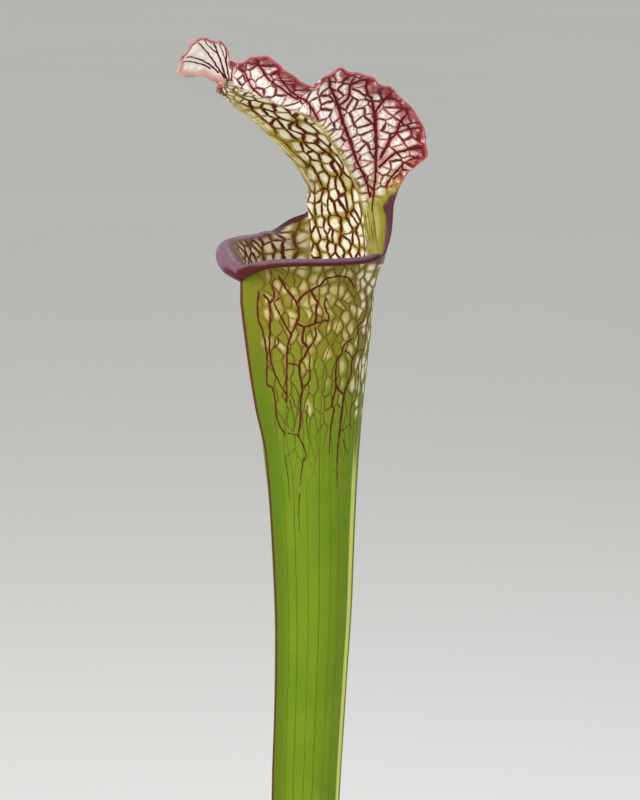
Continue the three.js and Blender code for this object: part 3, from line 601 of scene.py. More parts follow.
# Main veins of the tube as (degrees from the front, height), with the half width at both ends.
TUBE_VEINS = [
    ([(10, 424), (8, 415), (10, 410), (11, 401), (9, 392), (13, 389), (14, 378),
      (20, 373)], 0.44, 0.34),
    ([(13, 423), (17, 420), (15, 412), (13, 402), (15, 396), (19, 391), (23, 388)], 0.54, 0.3),
    ([(17, 420), (21, 422), (20, 427), (23, 429)], 0.47, 0.34),
    ([(20, 408), (20, 406), (15, 404)], 0.34, 0.24),
    ([(26, 430), (32, 425), (41, 420), (37, 414), (31, 409), (27, 404), (25, 395),
      (23, 385)], 0.58, 0.4),
    ([(31, 409), (25, 414), (21, 420), (26, 422)], 0.47, 0.34),
    ([(41, 420), (47, 423), (54, 425), (63, 427), (66, 429), (77, 430), (88, 429),
      (96, 425)], 0.54, 0.44),
    ([(54, 425), (58, 422), (60, 420), (55, 417), (53, 413)], 0.58, 0.58),
    ([(37, 413), (43, 412), (53, 413), (61, 414), (65, 414), (65, 418), (68, 422)], 0.51, 0.44),
    ([(43, 412), (41, 407), (46, 404), (38, 399), (37, 396), (39, 390), (37, 385), (36, 378),
      (33, 373)], 0.58, 0.44),
    ([(33, 373), (39, 369), (41, 366), (37, 363), (32, 355)], 0.38, 0.18),
    ([(22, 374), (33, 373)], 0.24, 0.24),
    ([(27, 399), (38, 398)], 0.38, 0.34),
    ([(46, 404), (53, 408), (53, 412)], 0.47, 0.4),
    ([(39, 390), (47, 393), (47, 399), (48, 402)], 0.4, 0.28),
    ([(93, 407), (82, 405), (80, 402), (75, 400), (74, 394), (76, 390), (85, 387)], 0.44, 0.47),
    ([(76, 391), (71, 384), (74, 382), (71, 378), (70, 372), (69, 366)], 0.51, 0.2),
    ([(115, 422), (112, 419), (107, 413), (98, 411), (100, 406), (99, 402), (93, 399), (93, 394),
      (86, 388), (84, 381)], 0.47, 0.54),
    ([(84, 381), (82, 374), (80, 365), (81, 354)], 0.51, 0.18),
    ([(95, 399), (87, 402), (82, 403)], 0.4, 0.34),
    ([(84, 374), (97, 376)], 0.28, 0.18),
    ([(124, 425), (123, 418), (115, 413), (113, 408), (113, 402), (104, 398), (106, 392),
      (105, 385), (98, 383), (97, 377), (100, 374)], 0.51, 0.24),
    ([(101, 402), (112, 402)], 0.34, 0.28),
    ([(88, 371), (90, 369), (97, 365)], 0.29, 0.14),
    ([(31, 352), (29, 346), (29, 338)], 0.25, 0.1),
    ([(44, 384), (43, 378), (45, 371)], 0.24, 0.1),
    ([(26, 386), (29, 380), (30, 376)], 0.24, 0.1),
    ([(17, 366), (19, 356), (18, 350)], 0.2, 0.1),
]
# Long lines that run on down the tube, and the ones between them.
LONG_VEINS = [
    ([(23, 385), (20, 373), (24, 358), (23, 339), (24, 300), (25, 200), (26, 60)], 0.22, 0.1),
    ([(96, 425), (92, 422), (84, 420), (77, 416), (70, 408), (63, 401), (60, 393), (58, 375),
      (56, 345), (56, 300), (57, 200), (58, 60)], 0.26, 0.12),
    ([(69, 366), (72, 330), (73, 260), (74, 60)], 0.1, 0.07),
    ([(82, 354), (86, 320), (88, 240), (90, 60)], 0.11, 0.07),
    ([(40, 356), (40, 320), (41, 240), (41, 60)], 0.1, 0.07),
    ([(12, 360), (13, 320), (13, 240), (14, 60)], 0.09, 0.06),
    ([(128, 372), (124, 330), (123, 240), (122, 60)], 0.16, 0.1),
    ([(150, 400), (148, 330), (147, 240), (147, 60)], 0.12, 0.07),
    ([(168, 405), (167, 330), (166, 240), (166, 60)], 0.14, 0.07),
]
MIRROR_SHIFT = (4, -3)            # degrees and height by which the -X side's veins differ
RIDGE_PROFILE = [(-1, -0.05), (-0.62, 0.045), (0, 0.085), (0.62, 0.045), (1, -0.05)]
RIDGE_STEP = 0.75
LONG_RIDGE_STEP = 2.2
RIDGE_WANDER = 0.14
HOOD_SEED = 300
FAR_LOBE_SHIFT = 90               # keeps the two lobes' nets from looking alike


def back_angle(across):
    """Angle on the tube below a place across the hood."""
    knots = np.array(HOOD_ANGLES, float)[:, None]
    turned = through_points(knots, np.abs(across) * 4)[:, 0]
    return np.where(across < 0, -turned, turned)


def leaf_layout():
    """Angles and heights of the leaf's rings, and places of the hood's rows and columns.

    The angles run from the wing's edge, closest together there, round the +X lip, the back
    below the hood, from its +X margin to its -X one, and the -X lip.
    """
    near = np.concatenate([[0, 0.8, 1.8, 3, 4.4, 6, 8], np.arange(10.2, NECK_ANGLE - 0.5, 2.2)])
    half = np.concatenate([np.linspace(0, 0.5, CHANNEL_COLUMNS + 1),
                           np.linspace(0.5, 1, FLANGE_COLUMNS + 1)[1:]])
    across = np.concatenate([half[::-1], -half[1:]])
    tube = np.concatenate([np.linspace(0, HOLLOW_FLOOR, 5), np.linspace(HOLLOW_FLOOR, 300, 16)[1:],
                           np.linspace(300, 350, 7)[1:], np.linspace(350, 416, 34)[1:]])
    flare = FLARE_SHARE * np.sin(np.linspace(0, math.pi / 2, LIP_FLARE_ROWS))
    return SimpleNamespace(
        near=near, across=across, back=slice(len(near), len(near) + len(across)),
        middle=len(across) // 2, angles=np.concatenate([near, back_angle(across), -near[:0:-1]]),
        tube=tube, lip=np.concatenate([flare, np.linspace(FLARE_SHARE, 1, LIP_ROLL_ROWS + 1)[1:]]),
        stations=np.linspace(NECK_STATION, LAST_STATION, HOOD_ROWS + 1)[1:])


leaf = leaf_layout()


def ripple_hood(points):
    """The hood's rows with their wavy margin."""
    near = (leaf.across > 0)[None, :]
    run = np.where(near, *(lengths_along(points[:, column], 0)[:, None] for column in (0, -1)))
    run = run + np.where(near, 0, RIPPLE_SHIFT)
    share = (smoothstep(np.abs(leaf.across), 0.6, 1)[None, :]
             * smoothstep(leaf.stations, 2.4, 4)[:, None])
    side = np.where(near, 1, -1)[..., None]
    sideways = np.gradient(points, axis=1) * -side
    normal = unit(np.cross(np.gradient(points, axis=0), sideways) * side)
    wave, scallop = waves(run, 5, RIPPLE_LENGTHS), waves(run, 8, SCALLOP_LENGTHS)
    return (points + normal * (RIPPLE_HEIGHT * share * wave)[..., None]
            + unit(sideways) * (SCALLOP_DEPTH * share * scallop)[..., None])


def both_sides(veins, mirror, shift=(0, 0)):
    """Veins of the +X side and their mirror images, which are shifted a little."""
    found = [(np.array(way, float), *widths) for way, *widths in veins]
    return found + [((way + shift) * mirror, *widths) for way, *widths in found]


HOOD_VEINS = both_sides(LOBE_VEINS, (1, -1)) + TIP_VEINS
TUBE_VEINS = both_sides(TUBE_VEINS, (-1, 1), MIRROR_SHIFT)
LONG_VEINS = both_sides(LONG_VEINS, (-1, 1), MIRROR_SHIFT)


def vein_gap(points, veins, skin_point):
    """Distance of each point from the nearest main vein's edge, negative inside the vein."""
    gap = np.full(len(points), 1e3)
    for way, *widths in veins:
        spots = skin_point(*through_points(way, np.linspace(0, len(way) - 1, 8 * len(way))).T)
        widths = np.linspace(*widths, len(spots))
        for start in range(0, len(spots), 8):
            some = slice(start, start + 8)
            apart = np.linalg.norm(points[:, None] - spots[some][None], axis=-1) - widths[some]
            gap = np.minimum(gap, apart.min(axis=1))
    return gap


def edge_band(points, edge, widths):
    """1 within a width of the edge's points, 0 beyond."""
    gaps = np.linalg.norm(points[..., None, :] - edge, axis=-1) - widths
    return 1 - smoothstep(gaps.min(axis=-1), -0.4, 0.4)


def run_from(points, column):
    """Distance of every point along its row from one column."""
    run = lengths_along(points, 1)
    return np.abs(run - run[:, [column]])


def leaf_values(rings, hood):
    """What the leaf's material reads, for the rings first and then for the hood's rows."""
    across, angles, back = leaf.across, leaf.angles, leaf.back
    stations, lip = leaf.stations, leaf.lip
    tube_rows, turned, from_middle = len(leaf.tube), np.abs(angles), np.abs(across)
    lip_rows = slice(tube_rows, len(rings))
    side = np.where(angles < 0, -1, 1)
    folds = [np.argmin(np.abs(across - place)) for place in (0.5, -0.5)]
    fold, ring_fold = np.where(across > 0, *folds), back.start + np.where(side > 0, *folds)

    # places on the vein nets: the tube's and channel's, and the lobes'
    from_midrib = run_from(hood, leaf.middle)
    past_fold = from_midrib - from_midrib[:, fold]
    from_back = run_from(rings, back.start + leaf.middle)
    net_across = np.radians(180 - turned) * NET_RADIUS * side
    back_net = np.abs(net_across[back])
    hood_across = np.where(from_middle <= 0.5, back_net, back_net[fold] + past_fold)
    hood_across = hood_across * np.where(across < 0, -1, 1)
    lip_run = lengths_along(rings[tube_rows - 1:], 0)[1:]
    hood_run = lengths_along(np.concatenate([rings[-1:, back], hood]), 0)[1:]
    down = (leaf.tube[-1] - leaf.tube)[:, None] / NET_LENGTHENING
    tube_along = NET_TOP - NET_LENGTHENING * np.log1p(down) + 0 * turned
    ring_along = np.concatenate([tube_along, NET_TOP + lip_run])
    start = ring_along[-1, back]
    flange_runs = [lengths_along(hood[:, np.argmin(np.abs(across - place))], 0)[:, None]
                   for place in LOBE_RUNS]
    lobe_run = np.where(across > 0, *flange_runs) + start + np.where(across < 0, FAR_LOBE_SHIFT, 0)

    # the margins, and the lip's purple with its band up the neck
    to_margin = np.where(across > 0, from_midrib[:, :1], from_midrib[:, -1:]) - from_midrib
    fold_run = lengths_along(hood[:, folds[0]], 0)[:, None]
    lobe = smoothstep(from_middle, 0.46, 0.56) * smoothstep(stations, 2.15, 3.1)[:, None]
    lobe = np.maximum(lobe, smoothstep(stations, TIP_STATION - 1, TIP_STATION)[:, None])
    to_rim = lip_run[-1] - lip_run
    width = to_rim[np.argmin(np.abs(lip - PURPLE_START))]
    width += (NECK_PURPLE - width) * smoothstep(turned, 96, 118)
    purple = np.concatenate([0 * tube_along, 1 - smoothstep(to_rim - width, -0.3, 0.3)])
    at_margin = smoothstep(from_middle, 0.93, 1)
    purple[:, back] *= at_margin
    neck_purple = (1 - smoothstep(stations, 2, 2.6))[:, None] * at_margin
    beside = (angles > NECK_BAND[0][0]) & (angles <= NECK_BAND[0][-1] + 1)
    edge = np.concatenate([rings[-1, beside], hood[:NECK_BAND_ROWS, 0]])
    widths = np.append(np.interp(angles[beside], *NECK_BAND),
                       np.linspace(NECK_BAND[1][-1], 0, NECK_BAND_ROWS))
    near = (lip_rows, angles > 0)
    purple[near] = np.maximum(purple[near], edge_band(rings[near], edge, widths))
    neck_purple = np.maximum(neck_purple, edge_band(hood, edge, widths))

    # where the tube turns into the hood
    behind = smoothstep(turned, 104, 138)
    ring_station = np.concatenate([smoothstep(leaf.tube, 385, leaf.tube[-1]), 1 + lip])[:, None]
    beside_neck = smoothstep(turned, 116, 130)
    beside_neck[back] = smoothstep(from_middle, 0.5, 0.6)
    lip_share = np.append(np.zeros(tube_rows), lip)[:, None]
    hood_flange = (1 - smoothstep(stations, 2.4, 3.3))[:, None] * beside_neck[back]

    def joined(on_rings, on_hood):
        return np.concatenate([np.broadcast_to(value, part.shape[:2]).ravel()
                               for value, part in ((on_rings, rings), (on_hood, hood))])

    def place(x, y):
        return np.stack([x, y, 0 * x], -1)

    return {
        "net_place": place(joined(net_across, hood_across),
                           joined(ring_along, start + hood_run * HOOD_NET_STRETCH)),
        "lobe_place": place(joined(from_back - from_back[:, ring_fold], past_fold),
                            joined(ring_along + np.where(side < 0, FAR_LOBE_SHIFT, 0), lobe_run)),
        "margin": joined(FAR_FROM_MARGIN, np.minimum(to_margin, fold_run[-1] - fold_run)),
        "lobe": joined(0.0, lobe),
        "lip": joined(purple, neck_purple),
        "station": joined(behind * ring_station, stations[:, None]),
        "lip_share": joined(lip_share, 1.0),
        "flange": joined(smoothstep(lip_share, 0.1, 0.5) * beside_neck, hood_flange),
        "turned": joined(turned, np.abs(back_angle(across))),
    }


def leaf_skin(with_wing):
    """Rings of points up to the end of the lip, and rows of points across the hood."""
    angles, lip = leaf.angles, leaf.lip[:, None]
    tube_part = tube_point(leaf.tube[:, None], angles, with_wing)
    if with_wing:
        rib = RIB_HEIGHT * bell(np.abs(angles), RIB_ANGLE, RIB_SPREAD)
        rib = rib * (1 - smoothstep(leaf.tube, *RIB_END))[:, None]
        turn = np.radians(angles)
        outward = np.stack([np.sin(turn), -np.cos(turn), 0 * turn], -1)
        tube_part = tube_part + rib[..., None] * outward
    near, far = (lip_point(way, lip, with_wing) for way in (leaf.near, -leaf.near[:0:-1]))
    lip_part = np.concatenate([near, hood_point(1 + lip, leaf.across), far], axis=1)
    return (np.concatenate([tube_part, lip_part]),
            ripple_hood(hood_point(leaf.stations[:, None], leaf.across)))


def grid_spots(grid, rows, columns):
    """Values of a grid at fractional rows and columns."""
    r = np.clip(np.floor(rows).astype(int), 0, grid.shape[0] - 2)
    c = np.clip(np.floor(columns).astype(int), 0, grid.shape[1] - 2)
    u, v = (rows - r)[:, None], (columns - c)[:, None]
    low, high = (grid[row, c] * (1 - v) + grid[row, c + 1] * v for row in (r, r + 1))
    return low * (1 - u) + high * u


def on_rings(angle, height):
    """Fractional rows and columns of the rings at degrees from the front and a height."""
    turned = np.abs(angle)
    share = FLARE_SHARE * np.clip((height - TUBE_TOP) / (monotone(LIP, 2, turned) - TUBE_TOP), 0, 1)
    tube_row = np.interp(height, np.append(leaf.tube, TUBE_TOP), np.arange(len(leaf.tube) + 1))
    lip_row = len(leaf.tube) + np.interp(share, leaf.lip, np.arange(len(leaf.lip)))
    known = leaf.angles[:leaf.back.start + leaf.middle + 1]
    column = np.interp(turned, known, np.arange(len(known)))
    return (np.where(height > TUBE_TOP, lip_row, tube_row),
            np.where(angle < 0, len(leaf.angles) - column, column))


def on_hood(station, across):
    """Fractional rows and columns of the hood's grid at a station and a place across."""
    rows = (station - NECK_STATION) / (LAST_STATION - NECK_STATION) * HOOD_ROWS
    return rows, np.interp(-across, -leaf.across, np.arange(len(leaf.across)))


def ridge(place, skin, vein, step, seed):
    """Rows of five points: a low rounded vein over a skin's grid of points and normals."""
    points, normals = skin
    way, *widths = vein
    fine = through_points(way, np.linspace(0, len(way) - 1, 16 * len(way))).T
    run = lengths_along(grid_spots(points, *place(*fine)), 0)
    count = max(4, int(run[-1] / step))
    even = np.linspace(0, run[-1], count + 1)
    at = place(*(np.interp(even, run, line) for line in fine))
    spots, upward = grid_spots(points, *at), unit(grid_spots(normals, *at))
    side = unit(np.cross(np.gradient(spots, axis=0), upward))
    ends = np.sin(np.linspace(0, math.pi, count + 1))
    wander = RIDGE_WANDER * waves(even, seed, (4.3, 2.6)) * ends
    half = np.linspace(*widths, count + 1) * (1 + 0.2 * waves(even, seed + 1, (3.1, 5.3)))
    return np.stack([spots + side * (wander + half * across)[:, None] + upward * height
                     for across, height in RIDGE_PROFILE], 1)


def leaf_veins(tube_skin, hood_skins):
    """The raised main veins, outside on the tube and on both faces of the hood.

    The number that their colour goes by is 0 on the tube, 0.5 on the hood, 1 on the long lines.
    """
    tables = ((0.0, TUBE_VEINS, RIDGE_STEP), (1.0, LONG_VEINS, LONG_RIDGE_STEP))
    on_tube = [[(shade, ridge(on_rings, tube_skin, vein, step, i)) for i, vein in enumerate(veins)]
               for shade, veins, step in tables]
    both_faces = [(0.5, ridge(on_hood, skin, vein, RIDGE_STEP, HOOD_SEED + i))
                  for i, vein in enumerate(HOOD_VEINS) for skin in hood_skins]
    points, faces, shades = [], [], []
    start = 0
    for shade, rows in on_tube[0] + both_faces + on_tube[1]:
        numbers = start + np.arange(rows[..., 0].size).reshape(rows.shape[:2])
        faces.append(patch(numbers)[0])
        points.append(rows.reshape(-1, 3))
        shades.append(np.full(numbers.size, shade))
        start += numbers.size
    piece = add_mesh("pitcher_leaf_veins", np.concatenate(points) + CROWN, np.concatenate(faces))
    add_values(piece, "shade", np.concatenate(shades))
    finish_piece(piece, vein_material(), "main_pitcher")


def in_one_list(rings, hood):
    return np.concatenate([rings.reshape(-1, 3), hood.reshape(-1, 3)])


def main_pitcher():
    rings, hood = leaf_skin(True)
    round_rings, _ = leaf_skin(False)
    ring_numbers = np.arange(rings[..., 0].size).reshape(rings.shape[:2])
    hood_numbers = ring_numbers.size + np.arange(hood[..., 0].size).reshape(hood.shape[:2])
    ring_grid = closed(ring_numbers)
    hood_grid = np.concatenate([ring_numbers[-1:, leaf.back], hood_numbers])
    count = ring_numbers.size + hood_numbers.size
    floor_row = int(np.argmin(np.abs(leaf.tube - HOLLOW_FLOOR)))
    first, last = leaf.back.start, leaf.back.stop - 1
    rim = np.concatenate([
        ring_numbers[-1, last:], ring_numbers[-1, :first + 1], hood_numbers[:, 0],
        hood_numbers[-1, 1:], hood_numbers[-2::-1, -1], ring_numbers[-1, last:last + 1]])
    patches = [
        patch(ring_grid, area=BAKE_AREAS["outer_rings"]),
        patch(hood_grid, area=BAKE_AREAS["outer_hood"]),
        patch(ring_grid[floor_row:] + count, flip=True, area=BAKE_AREAS["inner_rings"]),
        patch(hood_grid + count, flip=True, area=BAKE_AREAS["inner_hood"]),
        patch(np.stack([rim, rim + count]), flip=True, area=BAKE_AREAS["rim"])]
    quads, places = (np.concatenate(parts) for parts in zip(*patches))
    fans = np.concatenate([fan(2 * count, ring_numbers[0], flip=True),
                           fan(2 * count + 1, ring_numbers[floor_row] + count)])
    fan_places = np.tile(BAKE_FAN, (len(fans), 1))

    # both skins stand off a middle one by half the wall, and sink between the main veins
    ring_wall = WALL + (RIM_WALL - WALL) * np.minimum(1, leaf.lip / FLARE_SHARE)
    ring_wall = np.append(np.full(len(leaf.tube), WALL), ring_wall)
    wall = np.append(np.repeat(ring_wall, rings.shape[1]), np.full(hood_numbers.size, RIM_WALL))
    gap = np.append(
        vein_gap(rings.reshape(-1, 3), TUBE_VEINS, lambda angle, height: tube_point(height, angle)),
        vein_gap(hood.reshape(-1, 3), HOOD_VEINS, hood_point))
    puff = -PUFF_DEPTH * (1 - bell(np.maximum(gap, 0), 0, PUFF_REACH)) * (gap < PUFF_LIMIT)
    puff[:ring_numbers.size] = 0
    middles = in_one_list(rings, hood), in_one_list(round_rings, hood)
    normals = [vertex_normals(middle, np.concatenate([part[0] for part in patches[:2]]))
               for middle in middles]
    outer = middles[0] + normals[0] * (wall / 2 + puff)[:, None]
    inner = middles[1] + normals[1] * (puff - wall / 2)[:, None]
    outer[:rings.shape[1], 2] = 0

    ends = [[0, -TUBE[0][1], 0], inner[ring_numbers[floor_row]].mean(axis=0)]
    used = np.zeros(2 * count + 2, bool)
    used[quads.ravel()] = used[fans.ravel()] = True
    renumber = np.cumsum(used) - 1
    piece = add_mesh("pitcher_leaf_main", np.concatenate([outer, inner, ends])[used] + CROWN,
                     [*renumber[quads], *renumber[fans]],
                     np.concatenate([places.reshape(-1, 2), fan_places]))
    for name, value in (leaf_values(rings, hood) | {"vein_gap": gap}).items():
        add_values(piece, name, np.concatenate([value, value, value[:1], value[:1]])[used])
    add_values(piece, "inside", np.repeat([0, 1, 0, 1], [count, count, 1, 1])[used])
    finish_piece(piece, pitcher_material(), "main_pitcher")
    hood_skins = [(outer[hood_grid], normals[0][hood_grid]),
                  (inner[hood_grid], -normals[1][hood_grid])]
    leaf_veins((outer[ring_grid], normals[0][ring_grid]), hood_skins)


# ---- main pitcher: materials ----

LEAF_OLIVE = colour(124, 114, 26)
LEAF_GREEN = colour(94, 124, 14)
LEAF_GREEN_LIGHT = colour(106, 131, 16)
# deep green of the wing's flank, partly the leaf's own colour and partly painted shade
LEAF_GREEN_DEEP_AND_SHADE = colour(80, 106, 4)
RIB_PALE = colour(204, 208, 104)
NECK_GREEN = colour(164, 152, 36)
NECK_OLIVE = colour(136, 130, 28)
CHANNEL_TAN = colour(208, 178, 84)
WINDOW_CREAM = colour(186, 172, 112)
WINDOW_WHITE = colour(252, 247, 222)
LOBE_WHITE = colour(242, 238, 228)
HALO_PINK = colour(176, 70, 66)
VEIN_MAROON = colour(88, 20, 20)
VEIN_BROWN = colour(98, 30, 26)
VEIN_DARK = colour(72, 8, 12)
VEIN_DARK_RED = colour(96, 16, 24)
VEIN_LONG = colour(98, 92, 20)
VEIN_FAINT = colour(114, 66, 26)
VEINLET_RED = colour(140, 32, 36)
MARGIN_PINK = colour(132, 22, 40)
LIP_MAROON = colour(72, 18, 22)
# lilac of the lip's painted highlight
LIP_PAINTED_HIGHLIGHT = colour(122, 92, 110)
INNER_BROWN = colour(92, 44, 24)
STREAK_PALE = colour(222, 206, 150)
STREAK_DARK = colour(110, 40, 34)
MARGIN_EDGE = colour(188, 96, 100)
TIP_CURL = colour(212, 160, 152)
TUBE_CELL = (2.8, 4.3)            # width and length of the vein net's cells, in millimetres
LOBE_CELL = (4.6, 4.3)
LOBE_SMALL_CELL = (2.1, 2.0)


def tube_ground(graph, at):
    """Greens of the tube, deep on the wing's flank, partly its own deeper green and partly painted
    shade, and pale on the rib.
    """
    height_share = rise(at.along, -50, -6)
    streaks = graph.noise(at.net_place, 1, 2, stretch=(0.9, 0.05, 0))
    rib = rise(abs(at.turned - RIB_ANGLE), 7.5, 3.5) * rise(at.along, -44, -56)
    return graph.coats(
        LEAF_GREEN, (rise(at.patches, 0.3, 0.7), LEAF_GREEN_LIGHT), (height_share, LEAF_OLIVE),
        (rise(streaks, 0.42, 0.72) * 0.4, LEAF_GREEN_LIGHT),
        (at.flank * 0.85 * (1 - height_share * 0.65), LEAF_GREEN_DEEP_AND_SHADE), (rib * 0.85, RIB_PALE))


def channel_colour(graph, at, green):
    """The net of fine veins and pale windows of the tube's top and the hood's channel."""
    loose = graph.shifted(at.net_place, 1.7, 4)
    net = graph.vein_net(loose, TUBE_CELL)
    in_hood, off_flange = at.in_hood, 1 - at.flange
    odds = rise(at.along, -50, -8) * 0.6 + rise(at.turned, 84, 104) * 0.24
    odds = odds * rise(at.along, -50, -38) * (1 - at.flank) | in_hood
    chosen = rise(net.cell + odds, 0.97, 1.06) * rise(at.along, -54, -42)
    from_centre = net.centre + (1 - in_hood) * 0.06
    round_share = rise(from_centre, 0.47, 0.33) * rise(net.distance, 0.3, 0.7)
    window = chosen * round_share * (rise(at.vein_gap, 0.1, 0.8) | in_hood) * off_flange
    window = window * (graph.noise(loose, 1, 0, stretch=(0.8, 0.6, 0)) * 0.7 + 0.5)
    ring = chosen * rise(net.centre, 0.64, 0.4) * off_flange

    strength = rise(net.lengthwise * 0.6 + net.vein, 0.62, 0.9)
    half = strength * 0.17 + 0.05 + in_hood * (strength * 0.12 + 0.05)
    fading = rise(at.along, -62, -34) * (1 - at.flank)
    vein = rise(net.distance - half, 0.12, -0.06) * (fading * 0.75 | in_hood)
    vein = vein * (1 - at.flange * 0.95)
    speckle = rise(graph.noise(loose, 1.1, 3, stretch=(1, 0.8, 0)), 0.5, 0.62)
    fringe = rise(net.distance - half, 0.5, 0.1) * speckle * in_hood * off_flange

    bright = in_hood | rise(at.turned, 84, 112) * 0.55
    window_colour = graph.mix(bright, WINDOW_CREAM, WINDOW_WHITE)
    dark = graph.mix(in_hood * (1 - strength), VEIN_MAROON, VEIN_BROWN)
    channel = graph.coats(
        green, (in_hood, NECK_GREEN), (at.flange, NECK_OLIVE),
        (rise(at.station, 5, 9) * 0.55, CHANNEL_TAN), (ring * 0.3, window_colour),
        (window, window_colour), (fringe * 0.75, VEINLET_RED),
        (vein, graph.mix(strength | in_hood, VEIN_FAINT, dark)))
    return channel, vein, window


def fold_streaks(graph, at, below):
    """Fine lengthwise streaks on the band where the hood folds over."""
    spout_side = rise(at.net_side, 1, -1)
    outer_end = at.past_fold - rise(at.station, 3.2, 2) * 3
    band = (rise(at.past_fold, -4.2, -1.2) * rise(outer_end, 3.4, 1.2) * rise(at.station, 0.7, 1.6)
            * rise(at.station, 10.5, 8.5) * (1 - spout_side * rise(at.station, 3.6, 2.4)))
    streaks = graph.noise(at.lobe_place, 1, 3, stretch=(2.3, 0.09, 0))
    streaked = graph.coats(
        NECK_GREEN, (rise(at.station, 5, 3), NECK_OLIVE),
        (rise(streaks, 0.49, 0.58) * (spout_side * 0.5 + 0.5), STREAK_PALE),
        (rise(streaks, 0.41, 0.37) * 0.85, STREAK_DARK))
    return graph.mix(band * 0.8, below, streaked)


def lobe_colour(graph, at):
    """White flesh between the main veins, with a red net and a pink margin."""
    net = graph.vein_net(graph.shifted(at.lobe_place, 1.5, 4), LOBE_CELL)
    small = graph.vein_net(graph.shifted(at.lobe_place, 0.8, 2), LOBE_SMALL_CELL)
    in_tip = rise(at.station, TIP_STATION - 0.6, TIP_STATION + 0.5)
    scatter = graph.noise(at.lobe_place, 1, 2, stretch=(0.3, 0.3, 0))
    near_margin = rise(at.margin + scatter * -6, 5, -0.6)
    near_margin = near_margin * (1 - in_tip * rise(at.margin, 0.4, 1.3))
    strong = rise(net.vein, 0.3, 0.62)
    half = strong * 0.32 + 0.12 + near_margin * 0.2
    vein = rise(net.distance - half, 0.12, -0.06) * (1 - in_tip * 0.92)
    veinlet = rise(small.distance, 0.2, 0.04) * rise(small.vein, 0.36, 0.56) * (1 - in_tip)
    halo = rise(net.distance - half, 0.85, 0) * 0.62 | rise(at.vein_gap, 1.3, 0.1) * 0.7
    base_green = rise(at.station, 4.6, 2.6) * rise(net.distance, 1.1, 0.5)
    curl = in_tip * rise(at.margin, 3.2, 1.6) * rise(at.net_side, 1, -1)
    vein_colour = graph.coats(VEINLET_RED, (strong * 0.7 + 0.25, VEIN_DARK),
                              (rise(at.margin, 3, 0.6), MARGIN_PINK))
    lobes = graph.coats(
        LOBE_WHITE, (halo * (1 - in_tip * 0.75), HALO_PINK),
        (near_margin * rise(scatter, 0.26, 0.54) * 0.9, MARGIN_PINK),
        (base_green * 0.85, NECK_GREEN), (veinlet * 0.75, VEINLET_RED), (vein * 0.95, vein_colour),
        (rise(at.margin, 0.7, 0.1) * 0.7, MARGIN_EDGE), (curl * 0.85, TIP_CURL))
    return lobes, vein


def pitcher_material():
    graph = Graph("pitcher_leaf")
    spot = graph.object_place()
    names = "margin lobe lip lip_share station turned inside flange vein_gap".split()
    at = SimpleNamespace(**{name: graph.value(name) for name in names})
    at.net_place = graph.value("net_place", "Vector")
    at.lobe_place = graph.value("lobe_place", "Vector")
    at.net_side, at.along = graph.part(at.net_place, 0), graph.part(at.net_place, 1)
    at.past_fold = graph.part(at.lobe_place, 0)
    at.patches = graph.noise(spot, 14, 3)
    at.flank = rise(at.turned, 19, 4)
    at.in_hood = rise(at.station, 0.3, 1.4) | at.inside * rise(at.along, -34, -10)
    channel, channel_vein, window = channel_colour(graph, at, tube_ground(graph, at))
    lobes, lobe_vein = lobe_colour(graph, at)

    # the lip is maroon along its lower edge, with a lilac painted highlight where the roll faces up
    # and on the band up the neck
    spout_side = rise(at.net_side, 5, -5) * rise(at.turned, 78, 50)
    painted_sheen = rise(at.lip_share, 0.5, 0.57) * rise(at.lip_share - spout_side * 0.09, 0.72, 0.62)
    painted_sheen = (painted_sheen | rise(at.turned, 100, 112) * 0.7) * (graph.noise(spot, 2.2, 3) * 0.6 + 0.45)
    # the VEIN_DARK coat over the roll's underside is painted shade
    lip_colour = graph.coats(LIP_MAROON, (painted_sheen, LIP_PAINTED_HIGHLIGHT),
                             (rise(at.lip_share, 0.72, 0.86) * 0.6, VEIN_DARK))
    under_rim = at.inside * rise(at.along, -30, 4) * rise(at.turned, 138, 112)
    wing_edge = rise(at.turned, 1.3, 0.6) * (1 - at.inside) * (1 - at.lip)
    whole = graph.coats(fold_streaks(graph, at, channel), (at.lobe, lobes),
                        (under_rim * 0.4, INNER_BROWN), (at.lip, lip_colour),
                        (wing_edge * 0.9, VEIN_MAROON))

    fine, off_lobe = graph.noise(spot, 0.9, 3), 1 - at.lobe
    raised = channel_vein * off_lobe | lobe_vein * at.lobe
    graph.bump(raised * 0.5 + fine * 0.3 + window * off_lobe * 0.5, 0.6, 0.3)
    return graph.surface(whole, fine * 0.16 + 0.4 - at.lip * 0.12, 0.16, Subsurface_Weight=0.2,
                         Subsurface_Radius=(1.0, 0.75, 0.5), Subsurface_Scale=0.0012)


def vein_material():
    graph = Graph("pitcher_leaf_veins")
    shade, spot = graph.value("shade"), graph.object_place()
    cloud = graph.noise(spot, 3, 3)
    clouded = rise(cloud, 0.35, 0.7)
    on_lobes = graph.mix(clouded, VEIN_DARK, VEIN_DARK_RED)
    whole = graph.coats(VEIN_MAROON, (clouded, VEIN_DARK), (rise(shade, 0, 0.5), on_lobes),
                        (rise(shade, 0.5, 1), VEIN_LONG))
    graph.bump(graph.noise(spot, 0.6, 2), 0.4, 0.1)
    return graph.surface(whole, cloud * 0.14 + 0.38, 0.14)


# ---- short leaves ----

FRONT = math.radians(270)         # the side of a short leaf that looks towards -Y
YOUNG_SEAM_FRONT = 0.8            # share of the height where the closed hood's edge lies in front
YOUNG_SEAM_BACK = 0.91
SWORD_TWIST = 26                  # degrees by which a flat leaf turns on its way up
STUMP_HOLLOW = 5
GRAIN_STRETCH = (1, 1, 0.06)      # draws the grain of a leaf out along it


